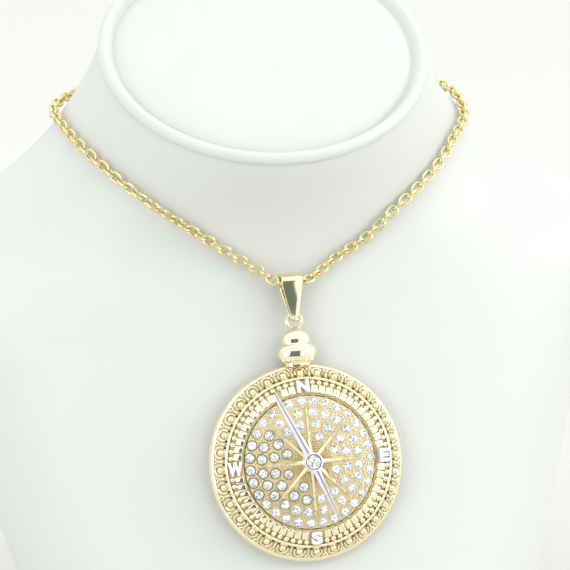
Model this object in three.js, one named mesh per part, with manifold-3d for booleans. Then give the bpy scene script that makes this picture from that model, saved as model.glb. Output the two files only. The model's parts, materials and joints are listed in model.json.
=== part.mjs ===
// Compass medallion pendant on an oval-link necklace, resting on a plain white neck bust.
// Millimetres, +Z up, the chest faces -Y, the origin is the middle of the bust's base.

import * as THREE from "three";
import { mergeVertices } from "three/addons/utils/BufferGeometryUtils.js";
import Module from "manifold-3d";

const wasm = await Module();
wasm.setup();

// Shared fits
const GAP = 0.3;                 // clearance between pieces that touch on the real thing
const ROOT = 0.25;               // how deep relief is rooted in the metal that carries it

// Neck bust
const BUST_HEIGHT = 176;
const BUST_WIDTH = 191;
const BUST_DEPTH = 110;
const CAP_ROLL = 3.2;            // height of the rounded roll round the neck's top
const CAP_DOME = 2.2;            // rise of the domed top face inside the roll
const BUST_SIDES = 28;

// Sections of the bust from the base up. front and back hold [depth, height]: depths are shares of
// BUST_DEPTH, heights of BUST_HEIGHT, half widths of BUST_WIDTH. squareness rounds the outline.
const BUST_SECTIONS = [
  { front: [-0.500, 0.000], back: [0.500, 0.000], halfWidth: 0.335, squareness: 2.8 },
  { front: [-0.367, 0.170], back: [0.509, 0.170], halfWidth: 0.390, squareness: 2.7 },
  { front: [-0.225, 0.352], back: [0.518, 0.375], halfWidth: 0.445, squareness: 2.5 },
  { front: [-0.118, 0.489], back: [0.527, 0.534], halfWidth: 0.487, squareness: 2.4 },
  { front: [-0.065, 0.557], back: [0.535, 0.614], halfWidth: 0.500, squareness: 2.2 },
  { front: [-0.038, 0.591], back: [0.541, 0.668], halfWidth: 0.488, squareness: 2.1 },
  { front: [-0.022, 0.619], back: [0.549, 0.730], halfWidth: 0.397, squareness: 2.0 },
  { front: [-0.018, 0.648], back: [0.555, 0.790], halfWidth: 0.336, squareness: 2.0 },
  { front: [-0.027, 0.679], back: [0.554, 0.850], halfWidth: 0.288, squareness: 2.0 },
  { front: [-0.045, 0.710], back: [0.550, 0.903], halfWidth: 0.258, squareness: 2.0 },
  { front: [-0.073, 0.750], back: [0.550, 0.946], halfWidth: 0.237, squareness: 2.0 },
  { front: [-0.094, 0.776], back: [0.552, 0.991], halfWidth: 0.226, squareness: 2.0 },
];
const CHEST_TOP_ROW = 3;         // the chest's front is straight from the first row to this one

// The cap above the last section: rise is a share of CAP_ROLL, spread a share of the last section.
const CAP_SECTIONS = [
  { rise: 0.35, spread: 1.020 },
  { rise: 0.75, spread: 1.012 },
  { rise: 1.00, spread: 0.970 },
  { rise: 0.95, spread: 0.935 },
  { rise: 0.70, spread: 0.915 },
  { rise: 0.90, spread: 0.895 },
];
const DOME_SPREADS = [0.65, 0.35];      // rings of the domed top face inside the roll

// Medallion
const MEDALLION_RADIUS = 25;
const KNOB_FLARE = 1.1;                 // a round boss is this much wider at its root
const KNOB_CREST = 0.65;                // and this much narrower at its flat top
const KNOB_SIDES = 5;
const ARCH_STEPS = 3;
const MEDALLION_HEIGHT_ON_CHEST = 62;   // height of its centre above the base
const RIM_ROUND = 1.9;                  // radius of the rounded outer edge
const BEVEL_FOOT_RADIUS = 24.3;
const BEVEL_FOOT_HEIGHT = 3.5;
const WIRE_RING_RADIUS = 21.2;
const WIRE_RING_THICKNESS = 0.9;
const WIRE_RING_HEIGHT = 5.9;           // height of the wire ring's middle above the back
const FLOOR_HEIGHT = 3.6;               // floor of the dial's seat above the back
const EGG_COUNT = 32;
const EGG_RADIUS = 0.85;
const ARCH_RADIUS = 1.5;
const ARCH_THICKNESS = 0.45;
const DART_WIDTH = 1;
const DART_LENGTH = 3.05;
const RELIEF_HEIGHT = 0.55;

// Domed face
const DOME_TOP = 9.4;                   // height of the face's middle above the back
const DOME_EDGE_HEIGHT = 5.7;           // height of the face beside the wire ring
const ROW_MARGIN = 0.1;                 // space between neighbouring rows of the face
const RING_LIP = 0.3;                   // plain inner edge of the ring of blocks and beads
const FACE_SIDES = 24;
const BLOCK_COUNT = 60;
const BLOCK_LENGTH = 1.9;
const BLOCK_WIDTH = 1.5;
const BLOCK_HEIGHT = 0.6;
const BEAD_COUNT = 72;
const BEAD_RADIUS = 0.5;
const LETTER_HEIGHT = 3.6;
const LETTER_THICKNESS = 1.1;
const LETTER_STROKE = 0.85;

// Stones of the field, one row for each ring: angles are degrees clockwise from N
const STONE_RADIUS = 1.2;
const STONE_RISE = 0.5;
const STONE_SIDES = 8;
const STONE_FLARE = 1.15;               // a stone is this much wider at its root
const STONE_TABLE = 0.6;                // its flat top, as a share of its radius
const STONE_ROW_PITCH = 2.95;           // from one row to the next one in
const OUTER_STONE_ROW = { count: 30, firstAngle: -15.1, step: 11.76 };
const INNER_STONE_ROWS = [
  { sectorOffsets: [-14.5, 0, 14.5], needleOffsets: [-12, 12] },
  { sectorOffsets: [-10.3, 10.3], needleOffsets: [-11.3, 11.3] },
  { sectorOffsets: [0], needleOffsets: [] },
];

// Compass rose and needle
const RAY_COUNT = 8;
const RAY_LENGTH = 13.6;
const RAY_HALF_WIDTH = 0.65;
const RAY_RISE = 0.85;
const RAY_ROOT = 0.6;                   // a ray starts at this share of the hub's radius
const RAY_TIP_WIDTH = 0.2;              // its tip, as shares of its width and rise
const RAY_TIP_RISE = 0.5;
const RIDGE_SHOULDER = 0.35;            // height of an arm's sides, as a share of its ridge
const HUB_RADIUS = 2.3;
const HUB_SIDES = 16;
const NEEDLE_ANGLE = 22.5;              // degrees anticlockwise from N
const NEEDLE_NORTH_LENGTH = 19.4;
const NEEDLE_SOUTH_LENGTH = 16.4;
const NEEDLE_HALF_WIDTH = 1.05;
const NEEDLE_RISE = 0.8;
const NEEDLE_NORTH_TIP = 0.45;          // widths of its tips, as shares of its widest
const NEEDLE_SOUTH_TIP = 0.25;
const NEEDLE_DROP = 2;                  // length over which it comes down beyond the rose
const BEZEL_RADIUS = 2.45;
const BEZEL_WALL = 0.3;
const BEZEL_SIDES = 20;
const BEZEL_HEIGHT = 1.3;
const BEZEL_SEAT = BEZEL_HEIGHT / 3;    // floor of the bezel's cup
const CENTRE_STONE_RISE = 0.75;
const CENTRE_STONE_FOOT = 0.8;          // its foot and table, as shares of its girdle
const CENTRE_STONE_TABLE = 0.6;
const CENTRE_STONE_SIDES = 10;

// Finial above the medallion, and the loop on it. Radii are of its width; it is flatter front to back.
const FINIAL_HEIGHT = 8.5;
const FINIAL_NECK_RADIUS = 3.2;
const FINIAL_BEAD_RADIUS = 5.1;
const FINIAL_DOME_RADIUS = 3.6;
const FINIAL_FLATNESS = 0.62;
const FINIAL_SIDES = 16;

// Stations of the finial from the rim up: distance is a share of FINIAL_HEIGHT, width of the radius.
const FINIAL_STATIONS = [
  { radius: FINIAL_NECK_RADIUS, width: 1.00, distance: -0.12 },
  { radius: FINIAL_NECK_RADIUS, width: 1.00, distance: 0.05 },
  { radius: FINIAL_BEAD_RADIUS, width: 0.80, distance: 0.09 },
  { radius: FINIAL_BEAD_RADIUS, width: 0.96, distance: 0.20 },
  { radius: FINIAL_BEAD_RADIUS, width: 1.00, distance: 0.36 },
  { radius: FINIAL_BEAD_RADIUS, width: 0.90, distance: 0.54 },
  { radius: FINIAL_DOME_RADIUS, width: 1.03, distance: 0.61 },
  { radius: FINIAL_DOME_RADIUS, width: 1.03, distance: 0.74 },
  { radius: FINIAL_DOME_RADIUS, width: 0.80, distance: 0.93 },
  { radius: FINIAL_DOME_RADIUS, width: 0.30, distance: 1.09 },
];
const LOOP_HOLE_RADIUS = 1.5;
const LOOP_WIRE = 0.9;

// Bail
const BAIL_LENGTH = 12.6;               // from its bottom bend to its top
const BAIL_STRAP = 0.6;
const BAIL_BOTTOM_STRAP = 1.2;          // the strap thickens towards its bottom bend
const BAIL_TOP_WIDTH = 5.5;
const BAIL_BOTTOM_WIDTH = 2.2;
const BAIL_SHOULDER = 0.62;             // width of its inner face, as a share of its outer face
const BAIL_FLARE_END = 0.75;            // it reaches its full width at this share of its length
const CHAIN_PLAY = 0.4;                 // room for the necklace inside the bail

// Necklace
const CHAIN_DIAMETER = 3.1;
const CHAIN_SIDES = 8;
const CHAIN_STEPS = 56;
const CLASP_LENGTH = 9;
const CLASP_DIAMETER = 3.6;

// Route of the necklace, in two halves from beside the bail to the end at the clasp
const CHAIN_ROUTE = {
  right: [
    { x: 6.4, y: -6.6, z: 105.7 },
    { x: 13.1, y: -4.2, z: 109.3 },
    { x: 21.5, y: -2.5, z: 113.5 },
    { x: 29.1, y: -0.5, z: 119.4 },
    { x: 36.6, y: 2.8, z: 124.2 },
    { x: 43.9, y: 8.1, z: 128.8 },
    { x: 49.6, y: 14.8, z: 133 },
    { x: 53.8, y: 21.3, z: 135 },
    { x: 56.2, y: 29, z: 136.8 },
    { x: 55.8, y: 38.8, z: 138.6 },
    { x: 51, y: 47.7, z: 139.8 },
    { x: 41, y: 54.8, z: 141 },
    { x: 29, y: 59.4, z: 142 },
    { x: 17, y: 61.9, z: 142.7 },
  ],
  left: [
    { x: -6.4, y: -6.1, z: 106.9 },
    { x: -11.5, y: -4.3, z: 110 },
    { x: -18.9, y: -2.7, z: 114.9 },
    { x: -27.9, y: -0.9, z: 121 },
    { x: -34.2, y: 1.5, z: 125.4 },
    { x: -41.2, y: 6.3, z: 130.3 },
    { x: -47.7, y: 14.1, z: 135.3 },
    { x: -51.4, y: 21.3, z: 138.2 },
    { x: -53.6, y: 29, z: 140 },
    { x: -54.4, y: 36.7, z: 140.7 },
    { x: -50.8, y: 45.5, z: 141.3 },
    { x: -40.4, y: 54.5, z: 142 },
    { x: -28.9, y: 59.3, z: 142.5 },
    { x: -16.9, y: 61.8, z: 142.8 },
  ],
};
const CLASP_MIDDLE = { x: 0, y: 63.4, z: 143.2 };

// Materials
function material(color, roughness, metalness) {
  return new THREE.MeshStandardMaterial({ color, roughness, metalness });
}

const WHITE_SATIN = material(0xeceeec, 0.55, 0);
const GOLD = material(0xe6cf8a, 0.28, 1);
const WHITE_METAL = material(0xe9eaf0, 0.22, 1);
const CRYSTAL = material(0xdfe8f2, 0.08, 0.1);

const degrees = THREE.MathUtils.degToRad;

// Geometry with shared corners and no flat triangles, as a solid for joining and cutting.
function toSolid(geometry) {
  const plain = new THREE.BufferGeometry();
  plain.setAttribute("position", geometry.getAttribute("position"));
  if (geometry.index) plain.setIndex(geometry.index);
  const welded = mergeVertices(plain, 1e-4);
  const corners = welded.getAttribute("position").array;
  const faces = [];
  let volume = 0;
  for (let i = 0; i < welded.index.count; i += 3) {
    const [a, b, c] = [0, 1, 2].map((k) => welded.index.getX(i + k));
    if (a === b || b === c || a === c) continue;
    faces.push(a, b, c);
    const [p, q, r] = [a, b, c].map((k) => new THREE.Vector3().fromArray(corners, 3 * k));
    volume += p.dot(q.cross(r));
  }
  if (volume < 0) faces.reverse();
  return new wasm.Manifold(new wasm.Mesh({
    numProp: 3,
    vertProperties: new Float32Array(corners),
    triVerts: new Uint32Array(faces),
  }));
}

function toGeometry(solid) {
  const mesh = solid.getMesh();
  const geometry = new THREE.BufferGeometry();
  geometry.setAttribute("position", new THREE.BufferAttribute(new Float32Array(mesh.vertProperties), 3));
  geometry.setIndex(new THREE.BufferAttribute(new Uint32Array(mesh.triVerts), 1));
  geometry.computeVertexNormals();
  return geometry;
}

function joined(geometries) {
  return geometries.map(toSolid).reduce((whole, piece) => whole.add(piece));
}

function named(name, geometry, finish) {
  const mesh = new THREE.Mesh(geometry, finish);
  mesh.name = name;
  return mesh;
}

// Skin through rings of points. A looped skin joins its last ring to its first, others are capped.
function skin(rings, looped = false) {
  const sides = rings[0].length;
  const points = rings.flat();
  const faces = [];
  const bands = looped ? rings.length : rings.length - 1;
  for (let band = 0; band < bands; band++) {
    const next = (band + 1) % rings.length;
    for (let side = 0; side < sides; side++) {
      const across = (side + 1) % sides;
      const [a, b] = [band * sides + side, band * sides + across];
      const [c, d] = [next * sides + side, next * sides + across];
      faces.push(a, b, d, a, d, c);
    }
  }
  if (!looped) {
    const last = (rings.length - 1) * sides;
    for (let side = 1; side < sides - 1; side++) {
      faces.push(0, side + 1, side, last, last + side, last + side + 1);
    }
  }
  const geometry = new THREE.BufferGeometry().setFromPoints(points);
  geometry.setIndex(faces);
  return geometry;
}

// Corners of a level regular polygon, with a flat side towards +X.
function levelRing(radius, height, sides) {
  return Array.from({ length: sides }, (_, i) => {
    const angle = (2 * Math.PI * (i + 0.5)) / sides;
    return new THREE.Vector3(radius * Math.cos(angle), radius * Math.sin(angle), height);
  });
}

// Solid of revolution about the medallion's axis, from [radius, height] pairs.
function turned(profile, sides) {
  const points = profile.map(([radius, height]) => new THREE.Vector2(radius, height));
  return new THREE.LatheGeometry(points, sides).rotateX(Math.PI / 2);
}

// Height of the domed face at a distance from its middle.
const FACE_EDGE_RADIUS = WIRE_RING_RADIUS - WIRE_RING_THICKNESS / 2 - GAP;
const DOME_SAG = DOME_TOP - DOME_EDGE_HEIGHT;
const DOME_SPHERE = (FACE_EDGE_RADIUS ** 2 + DOME_SAG ** 2) / (2 * DOME_SAG);
const domeHeight = (radius) => DOME_TOP - DOME_SPHERE + Math.sqrt(DOME_SPHERE ** 2 - radius ** 2);
const domeSlope = (radius) => Math.asin(radius / DOME_SPHERE);

// Rows of the face, from the wire ring inwards.
const BEAD_ROW_RADIUS = FACE_EDGE_RADIUS - ROW_MARGIN - BEAD_RADIUS;
const BLOCK_RADIUS = BEAD_ROW_RADIUS - BEAD_RADIUS - ROW_MARGIN - BLOCK_LENGTH / 2;
const RING_INNER_RADIUS = BLOCK_RADIUS - BLOCK_LENGTH / 2 - RING_LIP;
const LETTER_RADIUS = (FACE_EDGE_RADIUS + RING_INNER_RADIUS) / 2;
const DIAL_RADIUS = RING_INNER_RADIUS - GAP;
const stoneRowRadius = (row) => DIAL_RADIUS - ROW_MARGIN - STONE_RADIUS - row * STONE_ROW_PITCH;

// Places a piece modelled at the origin, facing +Z, on the dome at a clockwise angle from N.
function onDome(geometry, radius, clockwise, lift = 0) {
  const turn = -degrees(clockwise);
  geometry.translate(0, 0, lift);
  geometry.rotateX(-domeSlope(radius));
  geometry.translate(0, radius, domeHeight(radius));
  return geometry.rotateZ(turn);
}

// Bust

function bustSection({ front, back, halfWidth, squareness }) {
  const placed = ([depth, height]) => new THREE.Vector3(0, depth * BUST_DEPTH, height * BUST_HEIGHT);
  return { front: placed(front), back: placed(back), halfWidth: halfWidth * BUST_WIDTH, squareness };
}

function outline({ front, back, halfWidth, squareness }, spread = 1) {
  const middle = front.clone().add(back).multiplyScalar(0.5);
  const reach = front.clone().sub(middle);
  const points = [];
  for (let side = 0; side < BUST_SIDES; side++) {
    const angle = (2 * Math.PI * side) / BUST_SIDES;
    const [across, ahead] = [Math.sin(angle), Math.cos(angle)];
    const roundness = Math.abs(across) ** squareness + Math.abs(ahead) ** squareness;
    const size = spread * roundness ** (-1 / squareness);
    const point = middle.clone().addScaledVector(reach, ahead * size);
    point.x = across * size * halfWidth;
    points.push(point);
  }
  return points;
}

function between(a, b, share) {
  return {
    front: a.front.clone().lerp(b.front, share),
    back: a.back.clone().lerp(b.back, share),
    halfWidth: THREE.MathUtils.lerp(a.halfWidth, b.halfWidth, share),
    squareness: THREE.MathUtils.lerp(a.squareness, b.squareness, share),
  };
}

function buildBust() {
  const sections = BUST_SECTIONS.map(bustSection);
  const rings = [outline(sections[0])];
  for (let i = 1; i < sections.length; i++) {
    if (i < 3) rings.push(outline(between(sections[i - 1], sections[i], 0.5)));
    rings.push(outline(sections[i]));
  }
  const top = sections[sections.length - 1];
  const slant = top.back.clone().sub(top.front);
  const up = new THREE.Vector3(0, -slant.z, slant.y).normalize();
  const lifted = (rise, spread) => outline(top, spread).map((point) => point.addScaledVector(up, rise));
  for (const { rise, spread } of CAP_SECTIONS) rings.push(lifted(rise * CAP_ROLL, spread));
  const domeFoot = CAP_SECTIONS[CAP_SECTIONS.length - 1].rise * CAP_ROLL;
  for (const spread of DOME_SPREADS) rings.push(lifted(domeFoot + CAP_DOME * (1 - spread ** 2), spread));
  return named("neck_bust", toGeometry(toSolid(skin(rings))), WHITE_SATIN);
}

// The chest's straight front line carries the pendant: its lean, and its point at a height.
const CHEST_FOOT = bustSection(BUST_SECTIONS[0]).front;
const CHEST_TOP = bustSection(BUST_SECTIONS[CHEST_TOP_ROW]).front;
const CHEST_LEAN = Math.atan2(CHEST_TOP.y - CHEST_FOOT.y, CHEST_TOP.z - CHEST_FOOT.z);
const CHEST_OUT = new THREE.Vector3(0, -Math.cos(CHEST_LEAN), Math.sin(CHEST_LEAN));
const CHEST_UP = new THREE.Vector3(0, Math.sin(CHEST_LEAN), Math.cos(CHEST_LEAN));

// Round boss with its root below the surface that carries it.
function knob(radius, rise, sides) {
  return skin([levelRing(radius * KNOB_FLARE, -ROOT, sides), levelRing(radius * KNOB_CREST, rise, sides)]);
}

// Medallion case

function eggAndArch() {
  const egg = knob(EGG_RADIUS, RELIEF_HEIGHT, KNOB_SIDES);
  const curve = (radius) => Array.from({ length: ARCH_STEPS + 1 }, (_, i) => {
    const angle = (Math.PI * i) / ARCH_STEPS;
    return new THREE.Vector2(radius * Math.cos(angle), radius * Math.sin(angle));
  });
  const arch = new THREE.Shape([...curve(ARCH_RADIUS), ...curve(ARCH_RADIUS - ARCH_THICKNESS).reverse()]);
  const ridge = new THREE.ExtrudeGeometry(arch, { depth: RELIEF_HEIGHT + ROOT, bevelEnabled: false });
  ridge.translate(0, 0, -ROOT);
  return [egg, ridge];
}

function dart() {
  const shape = new THREE.Shape();
  shape.moveTo(-DART_WIDTH / 2, DART_LENGTH / 2);
  shape.lineTo(0, -DART_LENGTH / 2);
  shape.lineTo(DART_WIDTH / 2, DART_LENGTH / 2);
  shape.closePath();
  const wedge = new THREE.ExtrudeGeometry(shape, { depth: RELIEF_HEIGHT + ROOT, bevelEnabled: false });
  return wedge.translate(0, 0, -ROOT);
}

function onBevel(geometry, clockwise) {
  const inner = WIRE_RING_RADIUS + WIRE_RING_THICKNESS / 2;
  const run = BEVEL_FOOT_RADIUS - inner;
  const rise = WIRE_RING_HEIGHT - BEVEL_FOOT_HEIGHT;
  geometry.rotateX(-Math.atan2(rise, run));
  geometry.translate(0, inner + run / 2, BEVEL_FOOT_HEIGHT + rise / 2);
  return geometry.rotateZ(-degrees(clockwise));
}

function caseProfile() {
  const wireInner = WIRE_RING_RADIUS - WIRE_RING_THICKNESS / 2;
  const wireOuter = WIRE_RING_RADIUS + WIRE_RING_THICKNESS / 2;
  const crest = WIRE_RING_HEIGHT + WIRE_RING_THICKNESS / 2;
  const corner = MEDALLION_RADIUS - RIM_ROUND;
  const profile = [[0, 0], [corner, 0]];
  for (const angle of [-45, 0, 30]) {
    profile.push([corner + RIM_ROUND * Math.cos(degrees(angle)), RIM_ROUND * (1 + Math.sin(degrees(angle)))]);
  }
  profile.push([BEVEL_FOOT_RADIUS, BEVEL_FOOT_HEIGHT], [wireOuter, WIRE_RING_HEIGHT]);
  profile.push([WIRE_RING_RADIUS, crest], [wireInner, WIRE_RING_HEIGHT]);
  profile.push([wireInner, FLOOR_HEIGHT], [0, FLOOR_HEIGHT]);
  return profile;
}

const LOOP_DISTANCE = MEDALLION_RADIUS + FINIAL_HEIGHT + LOOP_HOLE_RADIUS + LOOP_WIRE;
const FINIAL_DEPTH = FINIAL_BEAD_RADIUS * FINIAL_FLATNESS;

function finial() {
  const points = FINIAL_STATIONS.map(({ radius, width, distance }) => (
    new THREE.Vector2(radius * width, MEDALLION_RADIUS + distance * FINIAL_HEIGHT)));
  points.unshift(new THREE.Vector2(0, points[0].y));
  points.push(new THREE.Vector2(0, points[points.length - 1].y));
  const body = new THREE.LatheGeometry(points, FINIAL_SIDES);
  return body.scale(1, 1, FINIAL_FLATNESS).translate(0, 0, FINIAL_DEPTH + GAP);
}

function loop() {
  const ring = new THREE.TorusGeometry(LOOP_HOLE_RADIUS + LOOP_WIRE / 2, LOOP_WIRE / 2, 6, 16);
  return ring.translate(0, LOOP_DISTANCE, FINIAL_DEPTH + GAP);
}

function buildCase() {
  const body = turned(caseProfile(), EGG_COUNT).rotateZ(Math.PI / EGG_COUNT);
  const pieces = [body, finial(), loop()];
  for (let i = 0; i < EGG_COUNT; i++) {
    const angle = (360 * i) / EGG_COUNT;
    for (const piece of eggAndArch()) pieces.push(onBevel(piece, angle));
    pieces.push(onBevel(dart(), angle + 180 / EGG_COUNT));
  }
  return named("medallion_case", toGeometry(joined(pieces)), GOLD);
}

// Ring of blocks and beads

const SEAT_HEIGHT = FLOOR_HEIGHT + GAP;

const LETTERS = [
  { name: "letter_n", clockwise: 0, width: 3.3 },
  { name: "letter_e", clockwise: 90, width: 3.2 },
  { name: "letter_s", clockwise: 180, width: 2.9 },
  { name: "letter_w", clockwise: 270, width: 3.7 },
];

// Whether a piece of the given width stands clear of the letters and the needle's tip.
function clearOfLetters(clockwise, radius, width) {
  const apart = (angle) => Math.abs(((clockwise - angle + 540) % 360) - 180);
  const reach = (other) => THREE.MathUtils.radToDeg((other + width) / 2 / radius);
  const letterClear = LETTERS.every((letter) => {
    const span = letter.clockwise % 180 ? LETTER_HEIGHT : letter.width;
    return apart(letter.clockwise) > reach(span + 2 * GAP);
  });
  const tip = 2 * (NEEDLE_HALF_WIDTH * NEEDLE_NORTH_TIP + GAP);
  return letterClear && apart(-NEEDLE_ANGLE) > reach(radius < NEEDLE_NORTH_LENGTH ? tip : 0);
}

function degreeRingProfile() {
  return [
    [RING_INNER_RADIUS, SEAT_HEIGHT], [FACE_EDGE_RADIUS, SEAT_HEIGHT],
    [FACE_EDGE_RADIUS, DOME_EDGE_HEIGHT], [RING_INNER_RADIUS, domeHeight(RING_INNER_RADIUS)],
    [RING_INNER_RADIUS, SEAT_HEIGHT],
  ];
}

function buildDegreeRing() {
  const pieces = [turned(degreeRingProfile(), FACE_SIDES)];
  for (let i = 0; i < BLOCK_COUNT; i++) {
    const angle = (360 * (i + 0.5)) / BLOCK_COUNT;
    if (!clearOfLetters(angle, BLOCK_RADIUS, BLOCK_WIDTH)) continue;
    const block = new THREE.BoxGeometry(BLOCK_WIDTH, BLOCK_LENGTH, BLOCK_HEIGHT + ROOT);
    pieces.push(onDome(block, BLOCK_RADIUS, angle, (BLOCK_HEIGHT - ROOT) / 2));
  }
  for (let i = 0; i < BEAD_COUNT; i++) {
    const angle = (360 * (i + 0.5)) / BEAD_COUNT;
    if (!clearOfLetters(angle, BEAD_ROW_RADIUS, 2 * BEAD_RADIUS)) continue;
    const bead = knob(BEAD_RADIUS, BEAD_RADIUS, KNOB_SIDES);
    pieces.push(onDome(bead, BEAD_ROW_RADIUS, angle));
  }
  return named("degree_ring", toGeometry(joined(pieces)), GOLD);
}

// Stone dial

// Round brilliant's crown, rooted in its setting: a ring of facets, then the table.
function stone() {
  const root = levelRing(STONE_RADIUS * STONE_FLARE, -ROOT, STONE_SIDES);
  return skin([root, levelRing(STONE_RADIUS * STONE_TABLE, STONE_RISE, STONE_SIDES)]);
}

function stonePlaces() {
  const places = [];
  for (let i = 0; i < OUTER_STONE_ROW.count; i++) {
    const clockwise = OUTER_STONE_ROW.firstAngle + i * OUTER_STONE_ROW.step;
    places.push({ radius: stoneRowRadius(0), clockwise });
  }
  for (let sector = 0; sector < RAY_COUNT; sector++) {
    const middle = (360 * (sector + 0.5)) / RAY_COUNT;
    const underNeedle = Math.abs(((middle + NEEDLE_ANGLE) % 180)) < 1;
    INNER_STONE_ROWS.forEach(({ sectorOffsets, needleOffsets }, row) => {
      const radius = stoneRowRadius(row + 1);
      const offsets = underNeedle ? needleOffsets : sectorOffsets;
      for (const offset of offsets) places.push({ radius, clockwise: middle + offset });
    });
  }
  return places;
}

function dialProfile() {
  const halfway = DIAL_RADIUS / 2;
  return [
    [0, SEAT_HEIGHT], [DIAL_RADIUS, SEAT_HEIGHT], [DIAL_RADIUS, domeHeight(DIAL_RADIUS)],
    [halfway, domeHeight(halfway)], [0, DOME_TOP],
  ];
}

function buildDial() {
  const pieces = [turned(dialProfile(), FACE_SIDES)];
  for (const { radius, clockwise } of stonePlaces()) {
    pieces.push(onDome(stone(), radius, clockwise));
  }
  return named("stone_dial", toGeometry(joined(pieces)), CRYSTAL);
}

// Ridged arm that follows the dome from one distance to another, lifted clear of what lies under it.
function arm({ from, to, rootHalfWidth, tipHalfWidth, rootRise, tipRise, liftAt }) {
  const steps = 4;
  const rings = [];
  for (let i = 0; i <= steps; i++) {
    const share = i / steps;
    const distance = THREE.MathUtils.lerp(from, to, share);
    const half = THREE.MathUtils.lerp(rootHalfWidth, tipHalfWidth, share);
    const rise = THREE.MathUtils.lerp(rootRise, tipRise, share);
    const base = domeHeight(distance) + liftAt(distance);
    rings.push([
      new THREE.Vector3(-half, distance, base),
      new THREE.Vector3(half, distance, base),
      new THREE.Vector3(half, distance, base + rise * RIDGE_SHOULDER),
      new THREE.Vector3(0, distance, base + rise),
      new THREE.Vector3(-half, distance, base + rise * RIDGE_SHOULDER),
    ]);
  }
  return skin(rings);
}

function buildRose() {
  const base = DOME_TOP + GAP;
  const top = base + RAY_RISE;
  const pieces = [turned([[0, base], [HUB_RADIUS, base], [HUB_RADIUS, top], [0, top]], HUB_SIDES)];
  for (let ray = 0; ray < RAY_COUNT; ray++) {
    const shape = arm({
      from: HUB_RADIUS * RAY_ROOT,
      to: RAY_LENGTH,
      rootHalfWidth: RAY_HALF_WIDTH,
      tipHalfWidth: RAY_HALF_WIDTH * RAY_TIP_WIDTH,
      rootRise: RAY_RISE,
      tipRise: RAY_RISE * RAY_TIP_RISE,
      liftAt: () => GAP,
    });
    pieces.push(shape.rotateZ((2 * Math.PI * ray) / RAY_COUNT));
  }
  return named("compass_rose", toGeometry(joined(pieces)), GOLD);
}

const NEEDLE_BASE = GAP + RAY_RISE + GAP;       // how far the needle's hub stands above the dome

function buildNeedle() {
  const clearOfRose = RAY_HALF_WIDTH + NEEDLE_HALF_WIDTH + 2 * GAP;
  const free = clearOfRose / Math.sin(Math.PI / RAY_COUNT);
  const liftAt = (distance) => {
    const share = THREE.MathUtils.clamp((distance - free) / NEEDLE_DROP, 0, 1);
    return THREE.MathUtils.lerp(NEEDLE_BASE, GAP, share);
  };
  const half = (length, tipShare) => arm({
    from: HUB_RADIUS / 2,
    to: length,
    rootHalfWidth: NEEDLE_HALF_WIDTH,
    tipHalfWidth: NEEDLE_HALF_WIDTH * tipShare,
    rootRise: NEEDLE_RISE,
    tipRise: NEEDLE_RISE,
    liftAt,
  });
  const base = DOME_TOP + NEEDLE_BASE;
  const seat = base + BEZEL_SEAT;
  const bore = BEZEL_RADIUS - BEZEL_WALL;
  const rim = base + BEZEL_HEIGHT;
  const above = rim + BEZEL_HEIGHT;
  const cup = turned([[0, base], [BEZEL_RADIUS, base], [BEZEL_RADIUS, rim], [0, rim]], BEZEL_SIDES);
  const hollow = turned([[0, seat], [bore, seat], [bore, above], [0, above]], BEZEL_SIDES);
  const north = half(NEEDLE_NORTH_LENGTH, NEEDLE_NORTH_TIP);
  const south = half(NEEDLE_SOUTH_LENGTH, NEEDLE_SOUTH_TIP).rotateZ(Math.PI);
  const whole = joined([north, south, cup]).subtract(toSolid(hollow));
  return named("needle", toGeometry(whole).rotateZ(degrees(NEEDLE_ANGLE)), WHITE_METAL);
}

function buildCentreStone() {
  const girdle = BEZEL_RADIUS - BEZEL_WALL - GAP;
  const foot = DOME_TOP + NEEDLE_BASE + BEZEL_SEAT + GAP;
  const middle = DOME_TOP + NEEDLE_BASE + BEZEL_HEIGHT;
  const rings = [
    levelRing(girdle * CENTRE_STONE_FOOT, foot, CENTRE_STONE_SIDES),
    levelRing(girdle, middle, CENTRE_STONE_SIDES),
    levelRing(girdle * CENTRE_STONE_TABLE, middle + CENTRE_STONE_RISE, CENTRE_STONE_SIDES),
  ];
  return named("centre_stone", toGeometry(toSolid(skin(rings))), CRYSTAL);
}

// Letters. Each outline is drawn one unit wide and one high, then given its real size.
function letterOutline(name, width) {
  const stroke = LETTER_STROKE / width;
  const bar = LETTER_STROKE / LETTER_HEIGHT;
  const outlines = {
    letter_n: [
      [0, 0], [0, 1], [stroke, 1], [1 - stroke, 0.38], [1 - stroke, 1],
      [1, 1], [1, 0], [1 - stroke, 0], [stroke, 0.62], [stroke, 0],
    ],
    letter_e: [
      [0, 0], [0, 1], [1, 1], [1, 1 - bar], [stroke, 1 - bar], [stroke, 0.5 + bar / 2],
      [0.85, 0.5 + bar / 2], [0.85, 0.5 - bar / 2], [stroke, 0.5 - bar / 2], [stroke, bar], [1, bar], [1, 0],
    ],
    letter_s: [
      [0, 0], [0, bar], [1 - stroke, bar], [1 - stroke, 0.5 - bar / 2], [0, 0.5 - bar / 2], [0, 1],
      [1, 1], [1, 1 - bar], [stroke, 1 - bar], [stroke, 0.5 + bar / 2], [1, 0.5 + bar / 2], [1, 0],
    ],
    letter_w: [
      [0, 1], [stroke, 1], [0.29, 0.36], [0.5, 0.86], [0.71, 0.36], [1 - stroke, 1],
      [1, 1], [0.8, 0], [0.66, 0], [0.5, 0.42], [0.34, 0], [0.2, 0],
    ],
  };
  const place = ([x, y]) => new THREE.Vector2((x - 0.5) * width, (y - 0.5) * LETTER_HEIGHT);
  return new THREE.Shape(outlines[name].map(place));
}

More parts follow.
